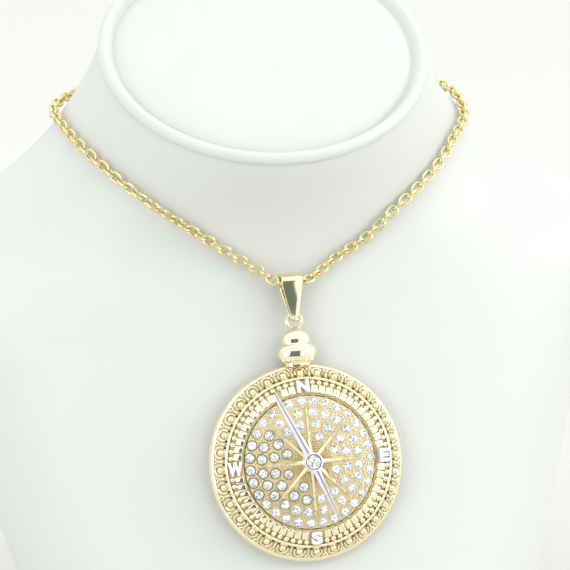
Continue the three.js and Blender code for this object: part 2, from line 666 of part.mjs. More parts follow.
function buildLetter({ name, clockwise, width }) {
  const shape = letterOutline(name, width);
  const letter = new THREE.ExtrudeGeometry(shape, { depth: LETTER_THICKNESS, bevelEnabled: false });
  letter.rotateZ(degrees(clockwise));
  onDome(letter, LETTER_RADIUS, clockwise, 2 * GAP);
  return named(name, toGeometry(toSolid(letter)), WHITE_METAL);
}

// Bail: a tapered strap folded round the necklace above and through the loop below.

const LOOP_TOP_WIRE = LOOP_DISTANCE + LOOP_HOLE_RADIUS + LOOP_WIRE / 2;
const BAIL_BOTTOM_RADIUS = LOOP_WIRE / 2 + GAP + BAIL_BOTTOM_STRAP;
const BAIL_TOP_RADIUS = CHAIN_DIAMETER / 2 + CHAIN_PLAY + BAIL_STRAP;
const BAIL_TOP_CENTRE = LOOP_TOP_WIRE - BAIL_BOTTOM_RADIUS + BAIL_LENGTH - BAIL_TOP_RADIUS;
const BAIL_DEPTH = FINIAL_DEPTH + GAP;

function bailPath() {
  const span = BAIL_TOP_CENTRE - LOOP_TOP_WIRE;
  const flare = Math.asin((BAIL_TOP_RADIUS - BAIL_BOTTOM_RADIUS) / span);
  const stations = [];
  const arc = (centre, radius, start, end, steps) => {
    for (let i = 0; i <= steps; i++) {
      stations.push({ centre, radius, angle: THREE.MathUtils.lerp(start, end, i / steps) });
    }
  };
  arc(BAIL_TOP_CENTRE, BAIL_TOP_RADIUS, -flare, Math.PI + flare, 10);
  arc(LOOP_TOP_WIRE, BAIL_BOTTOM_RADIUS, Math.PI + flare, 2 * Math.PI - flare, 8);
  return stations;
}

function buildBail() {
  const lowest = LOOP_TOP_WIRE - BAIL_BOTTOM_RADIUS;
  const rings = bailPath().map(({ centre, radius, angle }) => {
    const at = (distance, x) => new THREE.Vector3(
      x, centre + distance * Math.sin(angle), BAIL_DEPTH + distance * Math.cos(angle));
    const height = centre + radius * Math.sin(angle) - lowest;
    const share = THREE.MathUtils.clamp(height / (BAIL_LENGTH * BAIL_FLARE_END), 0, 1);
    const half = THREE.MathUtils.lerp(BAIL_BOTTOM_WIDTH, BAIL_TOP_WIDTH, share) / 2;
    const inner = radius - (centre === BAIL_TOP_CENTRE ? BAIL_STRAP : BAIL_BOTTOM_STRAP);
    const middle = (inner + radius) / 2;
    const shoulder = half * BAIL_SHOULDER;
    return [at(inner, -shoulder), at(middle, -half), at(radius, -half), at(radius, half), at(middle, half),
      at(inner, shoulder)];
  });
  return named("bail", toGeometry(toSolid(skin(rings, true))), GOLD);
}

// Seat of the pendant on the chest. Where the bust swells out behind the bail, the pendant stands off
// the chest as far as the bail needs.

function swellBehindBail() {
  const bailFoot = LOOP_TOP_WIRE - BAIL_BOTTOM_RADIUS;
  const centre = new THREE.Vector3(0, 0, MEDALLION_HEIGHT_ON_CHEST);
  centre.y = CHEST_FOOT.y + MEDALLION_HEIGHT_ON_CHEST * Math.tan(CHEST_LEAN);
  const fronts = BUST_SECTIONS.map((row) => bustSection(row).front.sub(centre));
  let swell = 0;
  for (let up = bailFoot; up <= bailFoot + BAIL_LENGTH; up += GAP) {
    for (let i = 1; i < fronts.length; i++) {
      const [low, high] = [fronts[i - 1].dot(CHEST_UP), fronts[i].dot(CHEST_UP)];
      if (up < low || up > high) continue;
      const front = fronts[i - 1].clone().lerp(fronts[i], (up - low) / (high - low));
      swell = Math.max(swell, front.dot(CHEST_OUT));
    }
  }
  return swell;
}

const BAIL_BACK = BAIL_DEPTH - BAIL_TOP_RADIUS;
const STAND_OFF = Math.max(0, swellBehindBail() + GAP - BAIL_BACK);
const PENDANT_SEAT = new THREE.Vector3(
  0,
  CHEST_FOOT.y + MEDALLION_HEIGHT_ON_CHEST * Math.tan(CHEST_LEAN),
  MEDALLION_HEIGHT_ON_CHEST,
).addScaledVector(CHEST_OUT, GAP + STAND_OFF);

// Necklace

const CHAIN_MIDDLE = PENDANT_SEAT.clone()
  .addScaledVector(CHEST_UP, BAIL_TOP_CENTRE)
  .addScaledVector(CHEST_OUT, BAIL_DEPTH);

function buildChain() {
  const half = (side, points) => [
    CHAIN_MIDDLE.clone().add(new THREE.Vector3((side * BAIL_TOP_WIDTH) / 2, 0, 0)),
    ...points.map(({ x, y, z }) => new THREE.Vector3(x, y, z)),
    new THREE.Vector3(side * (CLASP_LENGTH / 2 + GAP), CLASP_MIDDLE.y, CLASP_MIDDLE.z),
  ];
  const points = [...half(-1, CHAIN_ROUTE.left).reverse(), CHAIN_MIDDLE, ...half(1, CHAIN_ROUTE.right)];
  const route = new THREE.CatmullRomCurve3(points, false, "centripetal");
  const section = new THREE.Shape();
  for (let side = 0; side < CHAIN_SIDES; side++) {
    const angle = (2 * Math.PI * side) / CHAIN_SIDES;
    const point = [Math.cos(angle) * CHAIN_DIAMETER / 2, Math.sin(angle) * CHAIN_DIAMETER / 2];
    if (side === 0) section.moveTo(...point);
    else section.lineTo(...point);
  }
  section.closePath();
  const along = { steps: CHAIN_STEPS, extrudePath: route, bevelEnabled: false };
  return named("chain", toGeometry(toSolid(new THREE.ExtrudeGeometry(section, along))), GOLD);
}

function buildClasp() {
  const barrel = new THREE.CylinderGeometry(CLASP_DIAMETER / 2, CLASP_DIAMETER / 2, CLASP_LENGTH, 12);
  barrel.rotateZ(Math.PI / 2);
  const mesh = named("clasp", toGeometry(toSolid(barrel)), GOLD);
  mesh.position.copy(CLASP_MIDDLE);
  return mesh;
}

// Assembly

const pendant = new THREE.Group();
pendant.rotation.x = Math.PI / 2 - CHEST_LEAN;
pendant.position.copy(PENDANT_SEAT);
pendant.add(buildCase(), buildDegreeRing(), buildDial(), buildRose(), buildNeedle(), buildCentreStone());
pendant.add(...LETTERS.map(buildLetter), buildBail());

const necklace = new THREE.Group();
necklace.add(buildBust(), buildChain(), buildClasp(), pendant);

export default necklace;
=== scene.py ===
import json
import math

import bpy
from mathutils import Matrix, Vector


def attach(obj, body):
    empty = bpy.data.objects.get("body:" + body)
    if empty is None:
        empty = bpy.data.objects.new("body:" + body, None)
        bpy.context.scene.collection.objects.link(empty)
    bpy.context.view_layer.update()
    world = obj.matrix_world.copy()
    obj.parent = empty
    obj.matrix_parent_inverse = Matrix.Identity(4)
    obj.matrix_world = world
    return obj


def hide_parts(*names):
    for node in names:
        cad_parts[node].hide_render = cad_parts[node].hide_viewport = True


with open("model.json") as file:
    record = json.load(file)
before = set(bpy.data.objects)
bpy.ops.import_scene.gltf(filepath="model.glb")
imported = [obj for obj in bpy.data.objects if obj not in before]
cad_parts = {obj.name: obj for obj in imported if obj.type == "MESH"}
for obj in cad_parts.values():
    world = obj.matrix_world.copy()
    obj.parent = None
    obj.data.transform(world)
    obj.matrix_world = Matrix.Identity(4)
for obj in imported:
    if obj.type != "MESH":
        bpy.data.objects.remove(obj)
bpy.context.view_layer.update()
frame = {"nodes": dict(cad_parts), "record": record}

MM = 0.001

# The pendant's own frame: its middle lies on the chest, +Y runs up the chest to the loop and +Z
# points out of the medallion's face. Both swing joints lie on its middle line, so they give its lean.
joints = {joint["name"]: Vector(joint["pos_m"]) for joint in frame["record"]["behaviour"]["joints"]}
BAIL_AXIS = joints["bail_swing"]
LOOP_AXIS = joints["pendant_swing"]
LOOP_DISTANCE = 37.85 * MM          # from the medallion's middle to the loop's top wire
PENDANT_DEPTH = 3.462 * MM          # from the medallion's back to the middle of finial, loop and bail
chest_up = (BAIL_AXIS - LOOP_AXIS).normalized()
chest_out = Vector((1, 0, 0)).cross(chest_up)
seat = LOOP_AXIS - LOOP_DISTANCE * chest_up - PENDANT_DEPTH * chest_out
chest_turn = Matrix((Vector((1, 0, 0)), chest_up, chest_out)).transposed().to_4x4()
PENDANT_PLACE = Matrix.Translation(seat) @ chest_turn


# Camera, at the photograph's angle, with a plain floor and soft studio light. The medallion is seen
# from a little to its left and above, through a long lens from half a metre away.
CAMERA_PLACE = Vector((-109.2, -506.7, 312.5)) * MM
CAMERA_TARGET = Vector((-1.6, -8.9, 104.7)) * MM
CAMERA_LENS = 136.3
CAMERA_CLIP_START = 0.01


def deselect():
    if bpy.context.object and bpy.context.object.mode != "OBJECT":
        bpy.ops.object.mode_set(mode="OBJECT")
    bpy.ops.object.select_all(action="DESELECT")


deselect()
bpy.ops.object.camera_add(location=CAMERA_PLACE)
camera = bpy.context.object
camera.data.lens = CAMERA_LENS
camera.data.clip_start = CAMERA_CLIP_START
camera.rotation_euler = (CAMERA_TARGET - CAMERA_PLACE).to_track_quat("-Z", "Y").to_euler()
bpy.context.scene.camera = camera

bpy.context.scene.view_settings.view_transform = "Standard"

# The studio is a bright tent, brightest overhead and a little to the right. Its dark opening lies
# round the camera and shows in the polished metal that faces it.
TENT_COLOUR = (0.965, 1.0, 0.975, 1)
OPENING_COLOUR = (0.14, 0.18, 0.17, 1)
OPENING_HALF_WIDTH = 0.42           # sines of the opening's half angles
OPENING_HALF_HEIGHT = 0.30
OPENING_SOFTNESS = 0.04
OPENING_SIDE_FADE = 0.1             # keeps the opening on the camera's side of the tent
TENT_BRIGHT_SIDE = Vector((0.28, -0.22, 0.93)).normalized()
TENT_STRENGTHS = (0.70, 1.51)       # away from the bright side and on it


def add_node(tree, kind, values=(), **settings):
    node = tree.nodes.new(kind)
    for key, value in settings.items():
        setattr(node, key, value)
    for key, value in dict(values).items():
        node.inputs[key].default_value = value
    return node


world = bpy.data.worlds.new("studio")
bpy.context.scene.world = world
world.use_nodes = True
tent = world.node_tree
looking = add_node(tent, "ShaderNodeTexCoord").outputs["Generated"]


def towards(direction):
    """How far the looked-at direction points along the given one, from -1 to 1."""
    dot = add_node(tent, "ShaderNodeVectorMath", {1: direction}, operation="DOT_PRODUCT")
    tent.links.new(looking, dot.inputs[0])
    return dot.outputs["Value"]


def ramp(source, low, high, at_low, at_high):
    limits = {"From Min": low, "From Max": high, "To Min": at_low, "To Max": at_high}
    band = add_node(tent, "ShaderNodeMapRange", limits)
    tent.links.new(source, band.inputs["Value"])
    return band.outputs["Result"]


def combined(operation, *sources):
    node = add_node(tent, "ShaderNodeMath", operation=operation)
    for index, source in enumerate(sources):
        tent.links.new(source, node.inputs[index])
    return node.outputs["Value"]


to_camera = (CAMERA_PLACE - CAMERA_TARGET).normalized()
to_side = Vector((0, 0, 1)).cross(to_camera).normalized()
across_opening = ramp(combined("ABSOLUTE", towards(to_side)),
                      OPENING_HALF_WIDTH, OPENING_HALF_WIDTH + OPENING_SOFTNESS, 1, 0)
up_opening = ramp(combined("ABSOLUTE", towards(to_camera.cross(to_side))),
                  OPENING_HALF_HEIGHT, OPENING_HALF_HEIGHT + OPENING_SOFTNESS, 1, 0)
opening = combined("MULTIPLY", combined("MULTIPLY", across_opening, up_opening),
                   ramp(towards(to_camera), 0, OPENING_SIDE_FADE, 0, 1))
tent_tone = add_node(tent, "ShaderNodeMix", data_type="RGBA")
tent_tone.inputs["A"].default_value = TENT_COLOUR
tent_tone.inputs["B"].default_value = OPENING_COLOUR
tent.links.new(opening, tent_tone.inputs["Factor"])
tent_light = tent.nodes["Background"].inputs
tent.links.new(tent_tone.outputs["Result"], tent_light["Color"])
tent.links.new(ramp(towards(TENT_BRIGHT_SIDE), -1, 1, *TENT_STRENGTHS), tent_light["Strength"])

LAMPS = [
    # name, place, size, power, colour
    ("key_light", (0.98, -0.40, 0.55), 0.5, 3.6, (1.0, 0.99, 0.97)),
    ("fill_light", (-0.74, -0.76, 0.54), 0.6, 3.3, (0.97, 0.98, 1.0)),
]
LAMP_TARGET = Vector((0, 0, 0.09))
FLOOR_SIZE = 6
FLOOR_COLOUR = (0.70, 0.69, 0.67, 1)
FLOOR_ROUGHNESS = 0.7

for lamp_name, lamp_place, lamp_size, lamp_power, lamp_colour in LAMPS:
    deselect()
    bpy.ops.object.light_add(type="AREA", location=lamp_place)
    lamp = bpy.context.object
    lamp.name = lamp_name
    lamp.data.size = lamp_size
    lamp.data.energy = lamp_power
    lamp.data.color = lamp_colour
    lamp.rotation_euler = (LAMP_TARGET - Vector(lamp_place)).to_track_quat("-Z", "Y").to_euler()

deselect()
bpy.ops.mesh.primitive_plane_add(size=FLOOR_SIZE, location=(0, 0, 0))
floor = bpy.context.object
floor.name = "floor"
floor_finish = bpy.data.materials.new("pale_floor")
floor_finish.use_nodes = True
floor_shader = floor_finish.node_tree.nodes["Principled BSDF"]
floor_shader.inputs["Base Color"].default_value = FLOOR_COLOUR
floor_shader.inputs["Roughness"].default_value = FLOOR_ROUGHNESS
floor.data.materials.append(floor_finish)


# Neck bust. The real one is a moulded shell under smooth white leatherette, with a slanted oval cap
# edged by a padded roll. The shell is smoothed from its frame solid, the roll is a squashed ring.
CAP_FRONT = Vector((0, -10.3, 136.6)) * MM
CAP_BACK = Vector((0, 60.7, 174.4)) * MM
CAP_HALF_WIDTH = 43.2 * MM
CAP_LIMIT = 0.5 * MM                # corners above this, across the slant, lie on the cap
CAP_EDGE = 0.99                     # share of the cap from which its edge is drawn in
CAP_EDGE_SCALE = 0.94
BASE_LIMIT = 0.5 * MM               # corners below this lie on the flat base
ROLL_THICKNESS = 3.3 * MM
ROLL_HEIGHT = 1.75 * MM
ROLL_RING_SHARE = 0.04              # half thickness of the ring that is squashed into the roll
SEAM_STEPS = [
    # share of the cap from and to, reach to the sides as a share of its half width, depth
    (0.905, 0.925, 1.0, 1.5 * MM), (0.905, 0.925, 0.8, 1.0 * MM), (0.905, 0.925, 0.6, 2.0 * MM),
    (0.885, 0.905, 0.8, 0.9 * MM),
]
LEATHERETTE_WHITE = (0.665, 0.675, 0.655, 1)
LEATHERETTE_SHADE = (0.635, 0.645, 0.625, 1)
# gloss lost where shade is painted
PAINTED_SHADE_DULLNESS = 0.75


def shader_group(name, inputs, outputs):
    """Makes an empty shader node group with named value inputs and outputs."""
    group = bpy.data.node_groups.new(name, "ShaderNodeTree")
    for socket, kind, value in inputs:
        made = group.interface.new_socket(name=socket, in_out="INPUT", socket_type=kind)
        made.default_value = value
    for socket, kind in outputs:
        group.interface.new_socket(name=socket, in_out="OUTPUT", socket_type=kind)
    return group, group.nodes.new("NodeGroupInput"), group.nodes.new("NodeGroupOutput")


# Fine uneven surface shared by all finishes: a mask for colour and a height for the bump.
uneven, uneven_in, uneven_out = shader_group(
    "uneven_surface",
    [("Scale", "NodeSocketFloat", 400.0), ("Detail", "NodeSocketFloat", 4.0)],
    [("Mask", "NodeSocketFloat"), ("Height", "NodeSocketFloat")],
)
place = add_node(uneven, "ShaderNodeTexCoord")
coarse = add_node(uneven, "ShaderNodeTexNoise", {"Scale": 60.0, "Detail": 3.0})
fine = add_node(uneven, "ShaderNodeTexNoise", {"Roughness": 0.6})
uneven.links.new(place.outputs["Object"], coarse.inputs["Vector"])
uneven.links.new(place.outputs["Object"], fine.inputs["Vector"])
uneven.links.new(uneven_in.outputs["Scale"], fine.inputs["Scale"])
uneven.links.new(uneven_in.outputs["Detail"], fine.inputs["Detail"])
uneven.links.new(coarse.outputs["Fac"], uneven_out.inputs["Mask"])
uneven.links.new(fine.outputs["Fac"], uneven_out.inputs["Height"])


def finish_material(name, colours, roughness, grain, bump, bump_depth, metallic=0.0, spread=0.1,
                    painted_shade=None):
    """A finish whose colour and gloss drift with the shared surface. Where the mesh's painted shade mask
    is set, it turns to the painted shade colour and grows dull."""
    finish = bpy.data.materials.new(name)
    finish.use_nodes = True
    tree = finish.node_tree
    shader = tree.nodes["Principled BSDF"]
    shader.inputs["Metallic"].default_value = metallic
    surface = add_node(tree, "ShaderNodeGroup", node_tree=uneven)
    surface.inputs["Scale"].default_value = grain
    tone = add_node(tree, "ShaderNodeMix", data_type="RGBA")
    tone.inputs["A"].default_value = colours[0]
    tone.inputs["B"].default_value = colours[1]
    gloss = add_node(tree, "ShaderNodeMapRange")
    gloss.inputs["To Min"].default_value = roughness * (1 - spread)
    gloss.inputs["To Max"].default_value = roughness * (1 + spread)
    relief = add_node(tree, "ShaderNodeBump", {"Strength": bump, "Distance": bump_depth})
    tree.links.new(surface.outputs["Mask"], tone.inputs["Factor"])
    tree.links.new(surface.outputs["Mask"], gloss.inputs["Value"])
    tree.links.new(surface.outputs["Height"], relief.inputs["Height"])
    tree.links.new(relief.outputs["Normal"], shader.inputs["Normal"])
    colour, dullness = tone.outputs["Result"], gloss.outputs["Result"]
    # Painted shade: the mask pulls the colour towards the painted shade colour and dulls the gloss.
    if painted_shade:
        depth = add_node(tree, "ShaderNodeAttribute", attribute_name="painted_shade")
        painted_shade_mix = add_node(tree, "ShaderNodeMix", data_type="RGBA")
        painted_shade_mix.inputs["B"].default_value = painted_shade
        tree.links.new(depth.outputs["Fac"], painted_shade_mix.inputs["Factor"])
        tree.links.new(colour, painted_shade_mix.inputs["A"])
        dull = add_node(tree, "ShaderNodeMath", {1: PAINTED_SHADE_DULLNESS, 2: 0.0}, operation="MULTIPLY_ADD")
        tree.links.new(depth.outputs["Fac"], dull.inputs[0])
        tree.links.new(dullness, dull.inputs[2])
        colour, dullness = painted_shade_mix.outputs["Result"], dull.outputs["Value"]
    tree.links.new(colour, shader.inputs["Base Color"])
    tree.links.new(dullness, shader.inputs["Roughness"])
    return finish


def paint_shade(obj, shade_at):
    """Gives every face its share of painted shade, from 0 to 1, that the function finds for its middle."""
    marks = obj.data.attributes.new("painted_shade", "FLOAT", "FACE")
    for face in obj.data.polygons:
        marks.data[face.index].value = shade_at(face.center)


def activate(obj):
    deselect()
    obj.select_set(True)
    bpy.context.view_layer.objects.active = obj


def apply_place():
    """Leaves the active object's place, turn and scale in its mesh."""
    bpy.ops.object.transform_apply(location=True, rotation=True, scale=True)


def edit_all():
    """Goes into edit mode with everything selected."""
    bpy.ops.object.mode_set(mode="EDIT")
    bpy.ops.mesh.select_all(action="SELECT")


def extrude(step):
    bpy.ops.mesh.extrude_region_move(TRANSFORM_OT_translate={"value": step})


def apply_modifier(obj, kind, **settings):
    """Adds one modifier and applies it at once."""
    activate(obj)
    modifier = obj.modifiers.new(kind.lower(), kind)
    for key, value in settings.items():
        setattr(modifier, key, value)
    bpy.ops.object.modifier_apply(modifier=modifier.name)


def pick(obj, test):
    """Goes into edit mode with just the corners that pass the test selected."""
    activate(obj)
    bpy.ops.object.mode_set(mode="EDIT")
    bpy.ops.mesh.select_all(action="DESELECT")
    bpy.ops.object.mode_set(mode="OBJECT")
    for vertex in obj.data.vertices:
        vertex.select = test(vertex.co)
    bpy.ops.object.mode_set(mode="EDIT")


def tidy(obj, name, finish, place=None, angle=35):
    """Merges doubles, turns the faces out, shades by angle and leaves the place in the mesh."""
    activate(obj)
    if place is not None:
        obj.matrix_world = place @ obj.matrix_world
    apply_place()
    edit_all()
    bpy.ops.mesh.remove_doubles(threshold=1e-6)
    bpy.ops.mesh.normals_make_consistent(inside=False)
    bpy.ops.object.mode_set(mode="OBJECT")
    bpy.ops.object.shade_smooth_by_angle(angle=math.radians(angle))
    obj.name = name
    obj.data.materials.clear()
    obj.data.materials.append(finish)
    return obj


def declare(obj, body, slot, *nodes):
    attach(obj, body)
    if nodes:
        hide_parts(*nodes)


leatherette = finish_material("white_leatherette", (LEATHERETTE_WHITE, LEATHERETTE_SHADE),
                              roughness=0.42, grain=900.0, bump=0.12, bump_depth=0.0002)

shell = frame["nodes"]["neck_bust"].copy()
shell.data = shell.data.copy()
shell.parent = None
bpy.context.scene.collection.objects.link(shell)
shell.matrix_world = Matrix.Identity(4)
activate(shell)
edit_all()
bpy.ops.mesh.remove_doubles(threshold=1e-5)
bpy.ops.mesh.tris_convert_to_quads(face_threshold=math.radians(60), shape_threshold=math.radians(60))
bpy.ops.mesh.select_all(action="DESELECT")
bpy.ops.object.mode_set(mode="OBJECT")


def on_base(part):
    """Whether all corners of a face or an edge lie on the flat base."""
    return all(shell.data.vertices[v].co.z < BASE_LIMIT for v in part.vertices)


# The base becomes one flat face, with a rim that the smoothing keeps sharp.
for face in shell.data.polygons:
    face.select = on_base(face)
bpy.ops.object.mode_set(mode="EDIT")
bpy.ops.mesh.dissolve_faces()
bpy.ops.object.mode_set(mode="OBJECT")
creases = shell.data.attributes.new("crease_edge", "FLOAT", "EDGE")
for edge in shell.data.edges:
    creases.data[edge.index].value = 1 if on_base(edge) else 0

# The seam between roll and cap is sunk along the frame solid's shallow groove, and the edge outside
# it is drawn in under the roll.
cap_middle = (CAP_FRONT + CAP_BACK) / 2
cap_half_depth = (CAP_BACK - CAP_FRONT).length / 2
cap_tilt = math.atan2(CAP_BACK.z - CAP_FRONT.z, CAP_BACK.y - CAP_FRONT.y)
cap_place = Matrix.Translation(cap_middle) @ Matrix.Rotation(cap_tilt, 4, "X")


def on_cap(corner):
    """Share of the way from the cap's middle to its edge, or 0 below the cap."""
    local = cap_place.inverted() @ corner
    return math.hypot(local.x / CAP_HALF_WIDTH, local.y / cap_half_depth) if local.z > CAP_LIMIT else 0


for cap_low, cap_high, reach, sunk in SEAM_STEPS:
    pick(shell, lambda corner: cap_low < on_cap(corner) < cap_high
         and abs(corner.x) < reach * CAP_HALF_WIDTH)
    bpy.ops.transform.translate(value=cap_place.to_3x3() @ Vector((0, 0, -sunk)))
pick(shell, lambda corner: on_cap(corner) > CAP_EDGE)
bpy.ops.transform.resize(value=(CAP_EDGE_SCALE,) * 3, center_override=cap_middle)
bpy.ops.object.mode_set(mode="OBJECT")
apply_modifier(shell, "SUBSURF", levels=2, render_levels=2)
tidy(shell, "bust_shell", leatherette, angle=60)
declare(shell, "root", "bust_leatherette", "neck_bust")

deselect()
bpy.ops.mesh.primitive_torus_add(major_segments=128, minor_segments=16,
                                 major_radius=1.0, minor_radius=ROLL_RING_SHARE)
roll = bpy.context.object
roll.scale = (CAP_HALF_WIDTH - ROLL_THICKNESS / 2, cap_half_depth - ROLL_THICKNESS / 2,
              ROLL_THICKNESS / 2 / ROLL_RING_SHARE)
tidy(roll, "cap_roll", leatherette, place=cap_place @ Matrix.Translation((0, 0, ROLL_HEIGHT)))
declare(roll, "root", "bust_leatherette")


# Medallion case. One polished gold-plated casting: a round body with a rolled rim, a bevel of eggs
# in arches with darts between them, a thin wire ring inside it, and the finial with its loop on top.
GOLD_LIGHT = (0.89, 0.815, 0.625, 1)
GOLD_DEEP = (0.88, 0.775, 0.53, 1)
# colour that the gold is painted with as shade in its hollows
GOLD_PAINTED_SHADE = (0.76, 0.63, 0.35, 1)
MEDALLION_RADIUS = 25 * MM
WIRE_RADIUS = 21.2 * MM
WIRE_THICKNESS = 0.9 * MM
WIRE_HEIGHT = 5.9 * MM
BEVEL_FOOT = (24.2 * MM, 3.55 * MM)
BEVEL_SINK = 0.1 * MM               # how far the ornament's plane lies under the bevel's middle
BEVEL_GROUND = (21.8 * MM, 24.1 * MM)
BEVEL_GROUND_LOWEST = 3.3 * MM
# share of painted shade on the bevel's ground under the eggs, arches and darts
BEVEL_PAINTED_SHADE = 0.75
UNITS = 32
EGG_RADIUS = 0.84 * MM
EGG_SCALE = (1.0, 1.08, 0.6)
EGG_PLACE = (0, -0.45 * MM, 0.05 * MM)
ARCH_RADIUS = 1.35 * MM
ARCH_WIRE_RADIUS = 0.33 * MM
ARCH_SCALE = (1.0, 1.05, 1.0)
ARCH_PLACE = (0, -0.25 * MM, 0.06 * MM)
ARCH_FEET = 1.1 * MM
DART_STROKES = [
    # place of the middle, half width, half length, turn in degrees
    ((0, -0.35), 0.34, 1.3, 0), ((-0.42, 0.85), 0.26, 0.75, 40), ((0.42, 0.85), 0.26, 0.75, -40),
    ((0, 1.35), 0.95, 0.24, 0),
]
DART_HALF_HEIGHT = 0.34 * MM
DART_LIFT = 0.12 * MM
CASE_PROFILE = [
    # radius and height above the medallion's back, in millimetres
    (22.6, 0.0), (23.8, 0.12), (24.7, 0.55), (25.15, 1.2), (25.3, 1.9), (25.2, 2.6), (24.9, 3.2),
    (24.55, 3.6), (24.2, 3.72), (23.95, 3.56), (21.85, 5.5), (21.7, 5.75), (21.62, 6.05), (21.45, 6.28),
    (21.2, 6.37), (20.98, 6.28), (20.82, 6.05), (20.75, 5.4), (20.75, 3.6), (0.0, 3.6),
]
FINIAL_PROFILE = [
    # half its width and distance above the rim, in millimetres
    (3.3, -0.5), (3.4, 0.35), (3.7, 0.55), (4.35, 0.88), (4.85, 1.5), (5.08, 2.2), (5.1, 3.0),
    (4.95, 3.8), (4.55, 4.5), (4.0, 5.0), (3.72, 5.22), (3.66, 5.4), (3.72, 5.65), (3.72, 6.1),
    (3.62, 6.7), (3.35, 7.35), (2.85, 8.0), (2.2, 8.6), (1.6, 9.0), (1.1, 9.25), (0, 9.3),
]
FINIAL_FLATNESS = 0.62
LOOP_HOLE = 1.5 * MM
LOOP_WIRE = 0.9 * MM


def turned(profile, sides, ring=False):
    """Extrudes a circle along a profile of radius and height in millimetres. A ring's profile comes
    back to its start."""
    deselect()
    radius, height = profile[0]
    bpy.ops.mesh.primitive_circle_add(vertices=sides, radius=radius * MM, location=(0, 0, height * MM),
                                      fill_type="NOTHING" if ring else "NGON")
    obj = bpy.context.object
    apply_place()
    edit_all()
    for next_radius, next_height in profile[1:]:
        extrude((0, 0, (next_height - height) * MM))
        scale = next_radius / radius
        bpy.ops.transform.resize(value=(scale, scale, 1), center_override=(0, 0, next_height * MM))
        radius, height = next_radius, next_height
    bpy.ops.mesh.select_all(action="SELECT")
    bpy.ops.mesh.remove_doubles(threshold=1e-7)
    bpy.ops.object.mode_set(mode="OBJECT")
    return obj


def copies(source, places):
    """Copies of one modelled piece at each place, every one with its own mesh. The source is used up."""
    made = []
    for spot in places:
        twin = source.copy()
        twin.data = source.data.copy()
        bpy.context.scene.collection.objects.link(twin)
        twin.matrix_world = spot @ source.matrix_world
        made.append(twin)
    bpy.data.objects.remove(source)
    return made


def join(parts):
    deselect()
    for part in parts:
        part.select_set(True)
    bpy.context.view_layer.objects.active = parts[0]
    apply_place()
    bpy.ops.object.join()
    return bpy.context.object


def clockwise(angle):
    """Turn about the medallion's middle, in degrees clockwise as seen from the front."""
    return Matrix.Rotation(-math.radians(angle), 4, "Z")


gold = finish_material("pale_gold_plate", (GOLD_LIGHT, GOLD_DEEP), roughness=0.10, grain=1500.0,
                       bump=0.04, bump_depth=0.0001, metallic=1.0, spread=0.35, painted_shade=GOLD_PAINTED_SHADE)

bevel_inner = WIRE_RADIUS + WIRE_THICKNESS / 2
bevel_run = BEVEL_FOOT[0] - bevel_inner
bevel_rise = WIRE_HEIGHT - BEVEL_FOOT[1]
bevel_slope = math.atan2(bevel_rise, bevel_run)
bevel_height = BEVEL_FOOT[1] + bevel_rise / 2 - BEVEL_SINK
bevel_middle = Matrix.Translation((0, bevel_inner + bevel_run / 2, bevel_height))
bevel_middle = bevel_middle @ Matrix.Rotation(-bevel_slope, 4, "X")

body = turned(CASE_PROFILE, 192)
# The bevel's ground between the eggs, arches and darts is painted with shade.
paint_shade(body, lambda middle: BEVEL_PAINTED_SHADE if middle.z > BEVEL_GROUND_LOWEST
            and BEVEL_GROUND[0] < middle.xy.length < BEVEL_GROUND[1] else 0)
case_parts = [body]

deselect()
bpy.ops.mesh.primitive_uv_sphere_add(segments=14, ring_count=9, radius=EGG_RADIUS, location=EGG_PLACE)
egg = bpy.context.object
egg.scale = EGG_SCALE
egg_places = [clockwise(360 * i / UNITS) @ bevel_middle for i in range(UNITS)]
case_parts += copies(egg, egg_places)

# Arch: half a ring standing over the egg, with straight feet drawn out towards the wire ring.
deselect()
bpy.ops.mesh.primitive_torus_add(major_segments=32, minor_segments=8, major_radius=ARCH_RADIUS,
                                 minor_radius=ARCH_WIRE_RADIUS, location=ARCH_PLACE)
arch = bpy.context.object
apply_place()
edit_all()
bpy.ops.mesh.bisect(plane_co=(0, ARCH_PLACE[1], 0), plane_no=(0, -1, 0), clear_outer=True)
extrude((0, -ARCH_FEET, 0))
bpy.ops.object.mode_set(mode="OBJECT")
arch.scale = ARCH_SCALE
case_parts += copies(arch, egg_places)

# Dart: a slim ridge that widens towards the rim and ends in a short crossbar there.
dart_parts = []
for (dart_x, dart_y), dart_half_width, dart_half_length, dart_turn in DART_STROKES:
    deselect()
    bpy.ops.mesh.primitive_uv_sphere_add(segments=10, ring_count=8, radius=1)
    stroke = bpy.context.object
    stroke.scale = (dart_half_width * MM, dart_half_length * MM, DART_HALF_HEIGHT)
    stroke.rotation_euler = (0, 0, math.radians(dart_turn))
    stroke.location = (dart_x * MM, dart_y * MM, DART_LIFT)
    dart_parts.append(stroke)
dart = join(dart_parts)
dart_places = [clockwise(360 * (i + 0.5) / UNITS) @ bevel_middle for i in range(UNITS)]
case_parts += copies(dart, dart_places)

finial = turned(FINIAL_PROFILE, 64)
finial_foot = Matrix.Translation((0, MEDALLION_RADIUS, PENDANT_DEPTH))
finial_place = finial_foot @ Matrix.Rotation(-math.pi / 2, 4, "X")
finial.matrix_world = finial_place @ Matrix.Diagonal((1, FINIAL_FLATNESS, 1, 1))
case_parts.append(finial)

deselect()
loop_place = (0, LOOP_DISTANCE - LOOP_HOLE - LOOP_WIRE / 2, PENDANT_DEPTH)
bpy.ops.mesh.primitive_torus_add(major_segments=48, minor_segments=14, location=loop_place,
                                 major_radius=LOOP_HOLE + LOOP_WIRE / 2, minor_radius=LOOP_WIRE / 2)
case_parts.append(bpy.context.object)
case = tidy(join(case_parts), "medallion_casting", gold, place=PENDANT_PLACE, angle=40)
declare(case, "pendant", "gold", "medallion_case")


